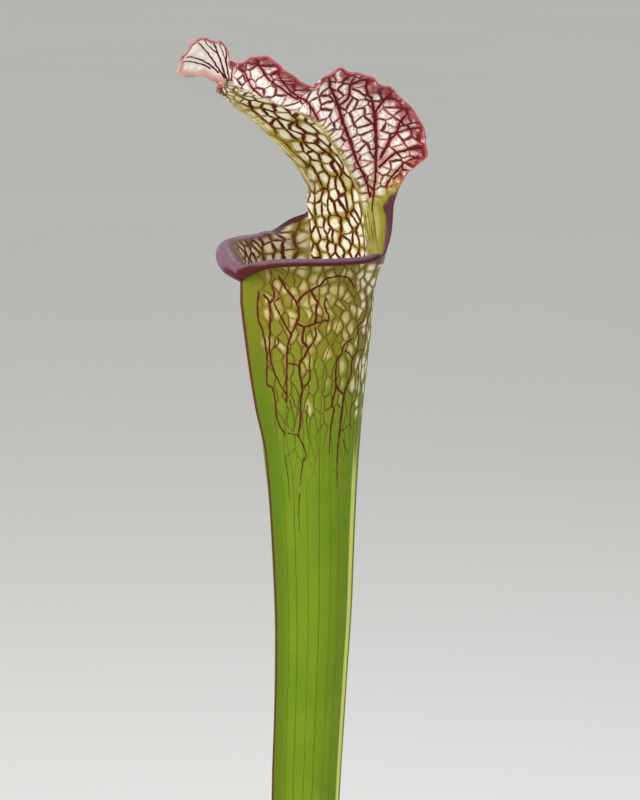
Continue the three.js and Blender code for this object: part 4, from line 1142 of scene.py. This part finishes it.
def seat_height(x, y, reach):
    """Highest point of the rhizome under a round foot, plus the clearance."""
    spots = np.array([[0, 0], [reach, 0], [-reach, 0], [0, reach], [0, -reach]]) + [x, y]
    shares = (spots - RHIZOME_CENTRE[:2]) / RHIZOME_HALF[:2]
    rise_there = np.sqrt(np.maximum(0, 1 - (shares**2).sum(axis=1)))
    return CLEARANCE + RHIZOME_CENTRE[2] + RHIZOME_HALF[2] * rise_there.max()


def degrees_from_front(turn):
    return np.abs((np.degrees(turn - FRONT) + 180) % 360 - 180)


def short_leaf(name, spec, outline, section, rows, sides, material, node):
    """A closed leaf from rings; section gives each ring point's place across, out and up."""
    foot_x, foot_y, height, lean, width, depth = spec
    share, turn = np.linspace(0, 1, rows)[:, None], circle(sides)[None, :]
    half_width = width * monotone(outline, 1, share)
    x, y, lift = section(share, turn, half_width, depth * monotone(outline, 2, share))
    lift = seat_height(foot_x, foot_y, width * outline[0][1]) + (lift + height * share)
    rings = np.stack(np.broadcast_arrays(
        foot_x + lean[0] * share**2 + x, foot_y + lean[1] * share**2 + y, lift), -1)
    piece = add_ringed(name, rings, rings[[0, -1]].mean(axis=1))
    values = {"share": share + 0 * turn, "from_front": degrees_from_front(turn) + 0 * share,
              "across": np.cos(turn) * half_width}
    for key, value in values.items():
        add_values(piece, key, np.append(value, [0, 1]))
    finish_piece(piece, material, node)


def young_section(share, turn, half_width, half_depth):
    """A slim tube with a front wing, and a hood that is folded shut over its mouth."""
    from_front = degrees_from_front(turn)
    seam = YOUNG_SEAM_FRONT + (YOUNG_SEAM_BACK - YOUNG_SEAM_FRONT) * (from_front / 180) ** 1.6
    open_sides = 1 - smoothstep(from_front, 118, 150)
    groove = 0.16 * bell(share, seam, 0.007) * open_sides
    lid = 0.13 * smoothstep(share, seam, seam + 0.012)
    lid = lid * (1 - smoothstep(share, seam + 0.03, seam + 0.1))
    wing = 0.42 * np.maximum(0, 1 - from_front / 26) ** 2 * (1 - smoothstep(share, 0.74, 0.8))
    crease = 0.07 * bell(from_front, 62, 16) * smoothstep(share, seam, seam + 0.03)
    reach = 1 + wing - groove + lid * open_sides - crease
    wave = 0.35 * np.sin(share * 9 + 0.6)
    return half_width * np.cos(turn) * reach + wave, half_depth * np.sin(turn) * reach, 0


def bud_section(share, turn, half_width, half_depth):
    """A flattened spear with a shallow fold down its front."""
    fold = 1 - 0.22 * bell(degrees_from_front(turn), 0, 16) * smoothstep(share, 0.2, 0.5)
    edge = 1 + 0.12 * np.abs(np.cos(turn)) ** 6
    return half_width * np.cos(turn) * edge, half_depth * np.sin(turn) * fold, 0


def sword_section(share, turn, half_width, half_depth):
    """A thin blade with a raised midrib and a slow twist."""
    across, out = np.cos(turn), np.sin(turn)
    thickness = 0.45 * (1 - np.abs(across) ** 3) + 0.12 + 0.5 * bell(across, 0, 0.14)
    blend = 1 - smoothstep(share, 0.06, 0.22)
    flat = np.sign(out) * thickness * np.minimum(1, np.abs(out) * 3)
    wave = 0.5 * np.sin(share * 17 + across * 2) * np.abs(across) * smoothstep(share, 0.2, 0.5)
    x, y = half_width * across, half_depth * (flat * (1 - blend) + out * blend) + wave
    bend = np.radians(SWORD_TWIST) * smoothstep(share, 0.1, 1) * share
    return x * np.cos(bend) - y * np.sin(bend), x * np.sin(bend) + y * np.cos(bend), 0


def stump_section(share, turn, half_width, half_depth):
    """A dry leaf base with sunken sides and a torn, hollow top."""
    torn = 1.7 * np.sin(turn * 3 + 0.7) + 1.1 * np.sin(turn * 7 + 2) + 0.7 * np.sin(turn * 13)
    sunken = 1 - 0.1 * smoothstep(np.sin(turn * 6 + 1), 0.1, 0.9) * smoothstep(share, 0.1, 0.5)
    reach = sunken * (1 - 0.42 * smoothstep(share, 0.925, 0.96))
    lift = smoothstep(share, 0.8, 0.9) * (torn - 1.5) - STUMP_HOLLOW * smoothstep(share, 0.94, 1)
    return half_width * np.cos(turn) * reach, half_depth * np.sin(turn) * reach, lift


def leaf_green(graph, spot, deep, light, size):
    """A green that drifts between two shades, with fine lengthwise grain."""
    grain = graph.noise(spot, 0.8, 3, stretch=GRAIN_STRETCH)
    drift = rise(graph.noise(spot, size, 3), 0.3, 0.7)
    return graph.coats(deep, (drift, light), (rise(grain, 0.42, 0.62) * 0.35, light)), grain


def young_material():
    graph = Graph("young_leaf")
    spot, share, front = graph.object_place(), graph.value("share"), graph.value("from_front")
    green, grain = leaf_green(graph, spot, colour(98, 128, 24), colour(132, 152, 40), 9)
    net = graph.vein_net(graph.node("CombineXYZ", (front * 0.13, share * 196)), (2.4, 4.6))
    window = rise(net.centre, 0.46, 0.32) * rise(share, 0.74, 0.88) * 0.8
    whole = graph.coats(
        green, (window, colour(206, 202, 160)),
        (rise(net.distance, 0.24, 0.08) * rise(share, 0.66, 0.86) * 0.85, VEIN_MAROON),
        (rise(share, 0.92, 1) * 0.7, colour(158, 70, 66)),
        (rise(front, 5, 1.5) * rise(share, 0.82, 0.76) * 0.85, VEIN_MAROON),
        (rise(share, 0.09, 0) * 0.7, colour(150, 96, 70)))
    graph.bump(grain * 0.5 + window * 0.3, 0.5, 0.25)
    return graph.surface(whole, grain * 0.14 + 0.36, 0.2, Subsurface_Weight=0.15,
                         Subsurface_Scale=0.0012)


def bud_material():
    graph = Graph("pitcher_bud")
    spot, share = graph.object_place(), graph.value("share")
    green, grain = leaf_green(graph, spot, colour(116, 124, 34), colour(150, 148, 58), 6)
    lines = graph.noise(spot, 0.7, 2, stretch=(1, 1, 0.03))
    whole = graph.coats(
        green, (rise(share + graph.noise(spot, 5, 2) * 0.4, 0.7, 1.25) * 0.9, colour(142, 48, 46)),
        (rise(share, 0.16, 0) * 0.75, colour(168, 104, 92)),
        (rise(lines, 0.6, 0.7) * 0.35, STREAK_DARK))
    graph.bump(grain, 0.5, 0.2)
    return graph.surface(whole, grain * 0.14 + 0.36, 0.2)


def sword_material():
    graph = Graph("flat_leaf")
    spot, share, across = graph.object_place(), graph.value("share"), graph.value("across")
    green, grain = leaf_green(graph, spot, colour(88, 118, 20), colour(118, 142, 34), 16)
    rib = rise(graph.math("PINGPONG", across * 0.9, 0.5), 0.1, 0.02)
    dry_tip = rise(share + graph.noise(spot, 4, 2) * 0.05, 0.955, 1)
    whole = graph.coats(
        green, (rib * 0.3, colour(70, 96, 16)),
        (rise(abs(across), 1.1, 0.4) * 0.6, colour(158, 170, 70)),
        (rise(graph.noise(spot, 11, 4), 0.58, 0.72) * 0.3, colour(150, 142, 50)),
        (dry_tip, colour(122, 78, 42)), (rise(share, 0.1, 0) * 0.8, colour(160, 100, 84)))
    graph.bump(rib * 0.5 + grain * 0.5, 0.5, 0.2)
    return graph.surface(whole, grain * 0.16 + 0.38, 0.2, Subsurface_Weight=0.1,
                         Subsurface_Scale=0.001)


def dry_material():
    graph = Graph("dry_leaf")
    spot, share = graph.object_place(), graph.value("share")
    fibre = graph.noise(spot, 0.5, 4, 0.65, stretch=(1, 1, 0.05))
    stain = graph.noise(spot, 5, 4)
    whole = graph.coats(
        colour(92, 62, 38), (rise(fibre, 0.35, 0.65), colour(178, 144, 98)),
        (rise(stain, 0.5, 0.7) * 0.6, colour(70, 44, 28)),
        (rise(share, 0.3, 0) * 0.6, colour(64, 40, 26)),
        (rise(share, 0.93, 0.97), colour(48, 32, 22)))
    graph.bump(fibre, 0.9, 0.5)
    return graph.surface(whole, stain * 0.2 + 0.7, 0.15)


def short_leaves():
    short_leaf("young_pitcher_leaf", YOUNG_PITCHER, YOUNG_OUTLINE, young_section, 240, 96,
               young_material(), "young_pitcher")
    short_leaf("pitcher_bud_leaf", PITCHER_BUD, BUD_OUTLINE, bud_section, 90, 56,
               bud_material(), "pitcher_bud")
    blade, dry = sword_material(), dry_material()
    for i, spec in enumerate(FLAT_LEAVES, 1):
        short_leaf(f"flat_leaf_blade_{i}", spec, SWORD_OUTLINE, sword_section, 120, 64,
                   blade, f"flat_leaf_{i}")
    for i, spec in enumerate(OLD_BASES, 1):
        short_leaf(f"old_leaf_stump_{i}", spec, STUMP_OUTLINE, stump_section, 90, 96,
                   dry, f"old_leaf_base_{i}")


# ---- rhizome and roots ----


def grainy_material(name, dark, light, size, spread, drift, paint, relief, roughness, specular,
                    stretch=None):
    """Two shades along a grain of a size, with a coat of paint where a broader noise rises."""
    graph = Graph(name)
    spot = graph.object_place()
    grain = graph.noise(spot, size, 5, 0.65, stretch)
    drift_size, detail, low, high, share = drift
    painted = rise(graph.noise(spot, drift_size, detail), low, high) * share
    graph.bump(grain, *relief)
    return graph.surface(graph.coats(dark, (rise(grain, *spread), light), (painted, paint)),
                         grain * 0.2 + roughness, specular)


def rhizome():
    """A creeping stem with the ring scars of old leaves."""
    along, around = np.linspace(0, math.pi, 90)[1:-1, None], circle(96)[None, :]
    direction = np.stack(np.broadcast_arrays(np.cos(along), np.sin(along) * np.cos(around),
                                             np.sin(along) * np.sin(around)), -1)
    distance = np.cos(along) * RHIZOME_HALF[0]
    scars = 0.35 * bell(np.sin(distance * 1.15 + 0.35 * np.sin(around * 2)), 1, 0.5)
    knobs = 0.3 * np.sin(around * 5 + distance * 0.5) * np.sin(distance * 0.7)
    depth = (0.65 - scars - knobs)[..., None] * np.sin(along)[..., None]
    ends = np.array([[RHIZOME_HALF[0], 0, 0], [-RHIZOME_HALF[0], 0, 0]]) + RHIZOME_CENTRE
    rings = direction * (RHIZOME_HALF - depth) + RHIZOME_CENTRE
    piece = add_ringed("rhizome_stem", rings, ends, flip=True)
    bark = grainy_material("rhizome", colour(74, 48, 32), colour(144, 106, 72), 1.6, (0.35, 0.65),
                           (6, 2, 0.5, 0.72, 0.4), colour(164, 104, 90), (0.9, 0.6), 0.66, 0.2,
                           stretch=(2.2, 0.7, 0.7))
    finish_piece(piece, bark, "rhizome")


def dress_roots():
    """The roots keep their solids and get a fibrous brown skin."""
    material = grainy_material("root", colour(62, 42, 30), colour(150, 116, 82), 0.8, (0.35, 0.65),
                               (7, 2, 0.45, 0.7, 0.5), colour(178, 152, 118), (0.8, 0.3), 0.65, 0.2)
    for name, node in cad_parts.items():
        if name.startswith("root_"):
            node.data.materials.clear()
            node.data.materials.append(material)


# ---- potting mix ----

MIX_SIDES = 220
MIX_SURFACE_RINGS = 78
MIX_WALL_GAP = 0.3                # how far the surface's rim sinks at the pot's wall
# Grains: name, count, seed, least and greatest radius, how far they differ from balls and how far
# they stand out, then their dark and light shade, the size of their grain and its relief.
GRAINS = [
    (("mix_crumbs", 620, 5, (0.6, 1.6), 0.3, 0.25), ((34, 22, 15), (98, 68, 46), 0.7, 0.4)),
    (("mix_perlite", 110, 6, (0.7, 1.7), 0.25, 0.3), ((196, 192, 182), (238, 236, 228), 0.6, 0.3)),
    (("mix_bark", 70, 7, (1.2, 2.6), 0.5, 0.1), ((66, 38, 24), (132, 86, 54), 1.1, 0.5)),
]
GRAIN_GAPS = (5, 2.5)             # how far grains stay clear of leaves and of the pot's wall
FIBRE_GAPS = (6, 2)
FIBRES = 90
FIBRE_SIDES = 5
FIBRE_STEPS = 14
FIBRE_SEED = 77


def pot_inner_radius(height):
    return POT_BASE_RADIUS + (POT_TOP_RADIUS - POT_BASE_RADIUS) * height / POT_HEIGHT - POT_WALL


def mix_level(x, y):
    """Smooth rise and fall of the potting mix's surface."""
    from_crown = np.hypot(x - CROWN[0], y - CROWN[1])
    bumps = np.sin(x * 0.31 + 1.3) * np.cos(y * 0.27 - 0.6) + 0.6 * np.sin(x * 0.13 - y * 0.19)
    return MIX_TOP + MIX_DOME * np.exp(-((from_crown / MIX_DOME_SPREAD) ** 2)) + MIX_BUMPS * bumps


def rough(x, y, seed, sizes, draws=9):
    """A lumpy height of about -1 to 1 from sines in random directions."""
    chance = np.random.default_rng(seed)
    total = 0
    for size in sizes:
        for _ in range(draws):
            turn, phase = chance.uniform(0, 2 * math.pi, 2)
            run = x * math.cos(turn) + y * math.sin(turn)
            total = total + np.sin(run * 2 * math.pi / size + phase)
    return total / math.sqrt(draws * len(sizes))


def potting_mix():
    """The plug of mix: lumpy on top, plain where the pot hides it."""
    bottom = POT_FLOOR + CLEARANCE
    top_radius = pot_inner_radius(MIX_TOP) - CLEARANCE
    low_radius = pot_inner_radius(bottom) - CLEARANCE
    ways = np.stack([np.cos(circle(MIX_SIDES)), np.sin(circle(MIX_SIDES))], -1)
    wall = [(low_radius * 0.5, bottom), (low_radius, bottom),
            *[(low_radius + (top_radius - low_radius) * u, bottom + (MIX_TOP - 1 - bottom) * u)
              for u in (0.2, 0.4, 0.6, 0.8, 1)]]
    rings = [np.column_stack([ways * radius, np.full(MIX_SIDES, height)])
             for radius, height in wall]
    for radius in np.linspace(top_radius, 0, MIX_SURFACE_RINGS + 1)[:-1]:
        x, y = (ways * radius).T
        lumps = 0.55 * rough(x, y, 21, (9, 5, 3)) + 0.3 * rough(x, y, 22, (1.9, 1.3))
        away = smoothstep(top_radius - radius, 0, 4)
        level = mix_level(x, y) + lumps * (0.4 + 0.6 * away) - MIX_WALL_GAP * (1 - away)
        rings.append(np.column_stack([ways * radius, level]))
    ends = [[0, 0, bottom], [0, 0, float(mix_level(0, 0))]]
    piece = add_ringed("potting_mix_plug", np.array(rings), ends)
    finish_piece(piece, peat_material(), "potting_mix")


def peat_material():
    graph = Graph("potting_mix")
    spot = graph.object_place()
    lumps, fine = graph.noise(spot, 2.6, 6, 0.7), graph.noise(spot, 0.5, 4, 0.7)
    whole = graph.coats(
        colour(30, 20, 14), (rise(lumps, 0.36, 0.64), colour(86, 58, 38)),
        (rise(fine, 0.55, 0.75) * 0.6, colour(122, 90, 60)),
        (rise(graph.noise(spot, 22, 2), 0.4, 0.65) * 0.35, colour(38, 26, 18)))
    graph.bump(lumps + fine * 0.6, 1, 0.9)
    return graph.surface(whole, fine * 0.2 + 0.78, 0.2)


def crumb_material(name, dark, light, size, depth):
    return grainy_material(name, dark, light, size, (0.3, 0.7), (size * 9, 1, 0.35, 0.65, 0.35),
                           dark, (0.9, depth), 0.72, 0.25)


def ball(detail):
    """Unit points and triangles of a sphere split from an icosahedron."""
    shape = bmesh.new()
    bmesh.ops.create_icosphere(shape, subdivisions=detail, radius=1)
    points = np.array([list(vertex.co) for vertex in shape.verts])
    faces = np.array([[vertex.index for vertex in face.verts] for face in shape.faces])
    shape.free()
    return points, faces


def free_spot(chance, clear):
    """A place on the mix's surface that is clear of the leaves and of the wall."""
    limit = pot_inner_radius(MIX_TOP) - GRAIN_GAPS[1]
    feet = [(CROWN[0], CROWN[1] - TUBE[0][1])]
    feet += [spec[:2] for spec in (YOUNG_PITCHER, PITCHER_BUD, *FLAT_LEAVES, *OLD_BASES)]
    while True:
        x, y = chance.uniform(-limit, limit, 2)
        if math.hypot(x, y) < limit and min(math.hypot(x - a, y - b) for a, b in feet) > clear:
            return x, y


def grains(name, count, seed, sizes, stretch, sink, material):
    """Lumpy grains strewn over the mix, partly sunk in it."""
    chance = np.random.default_rng(seed)
    unit_points, unit_faces = ball(2)
    points, faces = [], []
    for i in range(count):
        radius = chance.uniform(*sizes)
        x, y = free_spot(chance, GRAIN_GAPS[0] + radius)
        shape = unit_points * radius * chance.uniform(1 - stretch, 1 + stretch, 3)
        swell = 1
        for height, spread in ((0.2, 2.4), (0.12, 5)):
            run = unit_points @ chance.normal(0, spread, 3)
            swell = swell + height * np.sin(run + chance.uniform(0, 6))
        turned = shape * swell[:, None] @ np.array(Euler(chance.uniform(0, 6, 3)).to_matrix())
        points.append(turned + [x, y, float(mix_level(x, y)) + radius * sink])
        faces.append(unit_faces + i * len(unit_points))
    piece = add_mesh(name, np.concatenate(points), np.concatenate(faces))
    finish_piece(piece, material, "potting_mix")


def fibres():
    """Bent strands of peat fibre that lie on the surface."""
    chance = np.random.default_rng(FIBRE_SEED)
    ring, rise_and_fall = circle(FIBRE_SIDES), np.sin(np.linspace(0, math.pi, FIBRE_STEPS))
    points, faces = [], []
    for i in range(FIBRES):
        x, y = free_spot(chance, FIBRE_GAPS[0])
        heading, bend = chance.uniform(0, 2 * math.pi), chance.uniform(-0.16, 0.16)
        length, radius = chance.uniform(5, 14), chance.uniform(0.12, 0.26)
        headings = heading + bend * np.arange(FIBRE_STEPS) * length / 12
        steps = np.stack([np.cos(headings), np.sin(headings)], -1) * length / FIBRE_STEPS
        way = np.cumsum(steps, axis=0)
        way = way - way.mean(axis=0) + [x, y]
        over = np.hypot(*way.T).max() - (pot_inner_radius(MIX_TOP) - FIBRE_GAPS[1])
        way = way - np.array([x, y]) / max(math.hypot(x, y), 1) * max(0, over)
        level = mix_level(*way.T) + (0.9 + 0.5 * rise_and_fall * chance.uniform(0, 1.5))
        across = np.stack([-np.sin(headings), np.cos(headings)], -1)
        taper = radius * np.sqrt(np.sin(np.linspace(0.25, math.pi - 0.25, FIBRE_STEPS)))[:, None]
        flat = way[:, None] + across[:, None] * (taper * np.cos(ring))[..., None]
        tall = level[:, None] + taper * np.sin(ring)
        points.append(np.concatenate([flat, tall[..., None]], -1).reshape(-1, 3))
        faces += strand_faces(i * FIBRE_SIDES * FIBRE_STEPS, FIBRE_STEPS, FIBRE_SIDES)
    piece = add_mesh("mix_fibres", np.concatenate(points), faces)
    material = crumb_material("mix_fibres", colour(72, 46, 28), colour(150, 112, 72), 0.8, 0.15)
    finish_piece(piece, material, "potting_mix")


def mix_toppings():
    for (name, *strewn), (dark, light, grain, depth) in GRAINS:
        grains(name, *strewn, crumb_material(name, colour(*dark), colour(*light), grain, depth))
    fibres()


# ---- pot ----

POT_SIDES = 192
HOLE_SIDES = 32
EDGE = 0.8                        # rounding of the pot's edges
FLOOR_MIDDLE = 20                 # radius inside which the pot's floor is one fan
RING_HEIGHT = 18                  # height above the floor where the wall has a faint ring


def rounded(corners, steps=4):
    """A profile whose corners, given as (radius, height, rounding), are rounded off."""
    profile = [corners[0][:2]]
    for before, (x, y, size), after in zip(corners, corners[1:], corners[2:]):
        corner = np.array([x, y], float)
        back, ahead = np.array(before[:2]) - corner, np.array(after[:2]) - corner
        start = corner + back / np.linalg.norm(back) * size
        end = corner + ahead / np.linalg.norm(ahead) * size
        for u in np.linspace(0, 1, steps + 1):
            profile.append(tuple((1 - u) ** 2 * start + 2 * u * (1 - u) * corner + u * u * end))
    return [*profile, corners[-1][:2]]


def pot():
    band, ring, base = POT_HEIGHT - RIM_BAND_HEIGHT, POT_FLOOR + RING_HEIGHT, POT_BASE_RADIUS
    profile = rounded([
        (FLOOR_MIDDLE, 0, 0), (base - 7, 0, 0.3), (base - 6, 0.6, 0.3), (base - 3.4, 0.6, 0.3),
        (base - 2.6, 0, 0.3), (base, 0, EDGE), (pot_inner_radius(ring) + POT_WALL, ring, 0.5),
        (pot_inner_radius(band) + POT_WALL, band, 0.4), (RIM_BAND_RADIUS, band + 0.4, EDGE),
        (RIM_BAND_RADIUS, POT_HEIGHT, EDGE + 0.3),
        (pot_inner_radius(POT_HEIGHT), POT_HEIGHT, EDGE + 0.2),
        (pot_inner_radius(MIX_TOP), MIX_TOP, 0.4), (pot_inner_radius(POT_FLOOR), POT_FLOOR, EDGE),
        (FLOOR_MIDDLE, POT_FLOOR, 0)])
    rings = np.array([[[r * math.cos(a), r * math.sin(a), h] for a in circle(POT_SIDES)]
                      for r, h in profile])
    piece = add_ringed("nursery_pot", rings, [[0, 0, 0], [0, 0, POT_FLOOR]])
    cut_drain_holes(piece)
    piece.data.set_sharp_from_angle(angle=math.radians(50))
    finish_piece(piece, pot_material(), "pot")


def cut_drain_holes(piece):
    points, faces = [], []
    turn = circle(HOLE_SIDES)
    for i in range(DRAIN_HOLES):
        bearing = (i + 0.5) / DRAIN_HOLES * 2 * math.pi
        x = DRAIN_CIRCLE * math.cos(bearing) + DRAIN_RADIUS * np.cos(turn)
        y = DRAIN_CIRCLE * math.sin(bearing) + DRAIN_RADIUS * np.sin(turn)
        points += [np.column_stack([x, y, 0 * turn + height])
                   for height in (-POT_FLOOR, 2 * POT_FLOOR)]
        faces += strand_faces(i * 2 * HOLE_SIDES, 2, HOLE_SIDES)
    cutter = add_mesh("drain_cutter", np.concatenate(points), faces)
    cut = piece.modifiers.new("drain", "BOOLEAN")
    cut.operation = "DIFFERENCE"
    cut.solver = "EXACT"
    cut.object = cutter
    bpy.context.view_layer.update()
    cut_piece = piece.evaluated_get(bpy.context.evaluated_depsgraph_get())
    finished = bpy.data.meshes.new_from_object(cut_piece)
    piece.modifiers.clear()
    piece.data = finished
    bpy.data.objects.remove(cutter)


def pot_material():
    """Satin black plastic with fine mould grain, dust low down and dried splashes."""
    graph = Graph("pot")
    spot = graph.object_place()
    height = graph.part(spot, 2)
    grain, cloud, dust = (graph.noise(spot, *sizes)
                          for sizes in ((0.35, 3, 0.6), (18, 4), (3, 6, 0.7)))
    dusty = rise(dust, 0.5, 0.78) * (rise(height, 46, 0) * 0.4 + 0.12)
    rub = rise(height, POT_HEIGHT - 1.2, POT_HEIGHT - 0.2) * rise(dust, 0.4, 0.6)
    whole = graph.coats(colour(26, 27, 28), (rise(cloud, 0.3, 0.7), colour(38, 39, 40)),
                        (dusty, colour(104, 88, 70)), (rub * 0.3, colour(92, 92, 92)))
    rings = graph.math("PINGPONG", height * 1.6, 0.5)
    graph.bump(grain * 0.5 + rings * 0.25, 0.5, 0.12)
    return graph.surface(whole, cloud * 0.14 + 0.36 + dusty * 0.4, 0.45)


# ---- floor, light and camera ----

VIEW_AZIMUTH = 48
VIEW_ELEVATION = 10
VIEW_DISTANCE = 1150
PHOTO_WIDTH = 640
PHOTO_HEIGHT = 800
MM_PER_PIXEL = 0.35               # at the leaf's axis
AXIS_PIXEL = 304.5                # where the leaf's axis stands in the picture
CROWN_PIXEL = 1500                # where the crown would be below the picture, seen level
SENSOR = 36
FLOOR_HALF = 30000
SKY_COLOUR = (1.0, 0.985, 0.95, 1)
SKY_STRENGTH = 0.6
LIGHT_AIM = Vector((0, 0, 0.45))  # metres
# Soft square lights: bearing and elevation in degrees, distance and size in metres, and power.
LIGHTS = {
    "key_light": (25, 46, 1.6, 0.9, 13),
    "front_light": (0, 24, 1.9, 1.2, 24),
    "fill_light": (112, 22, 1.8, 1.2, 6),
    "back_light": (215, 50, 1.6, 0.8, 7),
}


def facing(bearing, elevation):
    """Direction from the plant towards a bearing in degrees from the front and an elevation."""
    turn, up = math.radians(bearing), math.radians(elevation)
    return np.array([math.sin(turn) * math.cos(up), -math.cos(turn) * math.cos(up), math.sin(up)])


def place_facing(name, data, location, towards):
    """Sets up a camera or a light that looks back against a direction."""
    thing = bpy.data.objects.new(name, data)
    thing.location = location
    thing.rotation_mode = "QUATERNION"
    thing.rotation_quaternion = Vector((-towards).tolist()).to_track_quat("-Z", "Y")
    bpy.context.scene.collection.objects.link(thing)
    return thing


def add_camera():
    towards = facing(VIEW_AZIMUTH, VIEW_ELEVATION)
    side_shift = (PHOTO_WIDTH / 2 - AXIS_PIXEL) * MM_PER_PIXEL
    middle_pixel = PHOTO_HEIGHT / 2 / math.cos(math.radians(VIEW_ELEVATION))
    target = CROWN + facing(VIEW_AZIMUTH + 90, 0) * side_shift
    target = target + np.array([0, 0, (CROWN_PIXEL - middle_pixel) * MM_PER_PIXEL])
    data = bpy.data.cameras.new("camera")
    data.sensor_width = SENSOR
    data.lens = SENSOR * VIEW_DISTANCE / (PHOTO_HEIGHT * MM_PER_PIXEL)
    data.clip_end = 100
    location = Vector(((target + towards * VIEW_DISTANCE) * MM).tolist())
    bpy.context.scene.camera = place_facing("camera", data, location, towards)


def add_studio():
    world = bpy.data.worlds.new("studio")
    world.use_nodes = True
    background = world.node_tree.nodes["Background"]
    background.inputs["Color"].default_value = SKY_COLOUR
    background.inputs["Strength"].default_value = SKY_STRENGTH
    bpy.context.scene.world = world
    for name, (bearing, elevation, distance, size, power) in LIGHTS.items():
        data = bpy.data.lights.new(name, "AREA")
        data.size = size
        data.energy = power
        towards = facing(bearing, elevation)
        place_facing(name, data, LIGHT_AIM + Vector(towards.tolist()) * distance, towards)
    corners = [[x * FLOOR_HALF, y * FLOOR_HALF, 0] for x, y in ((-1, -1), (1, -1), (1, 1), (-1, 1))]
    floor = add_mesh("studio_floor", corners, [[0, 1, 2, 3]])
    graph = Graph("studio_floor")
    shade = graph.mix(graph.noise(graph.object_place(), 900, 2),
                      colour(222, 224, 224), colour(228, 229, 228))
    floor.data.materials.append(graph.surface(shade, 0.85, 0.2))


# ---- build ----

add_camera()
add_studio()
main_pitcher()
short_leaves()
rhizome()
dress_roots()
potting_mix()
mix_toppings()
pot()
bpy.context.scene.view_settings.view_transform = "Standard"
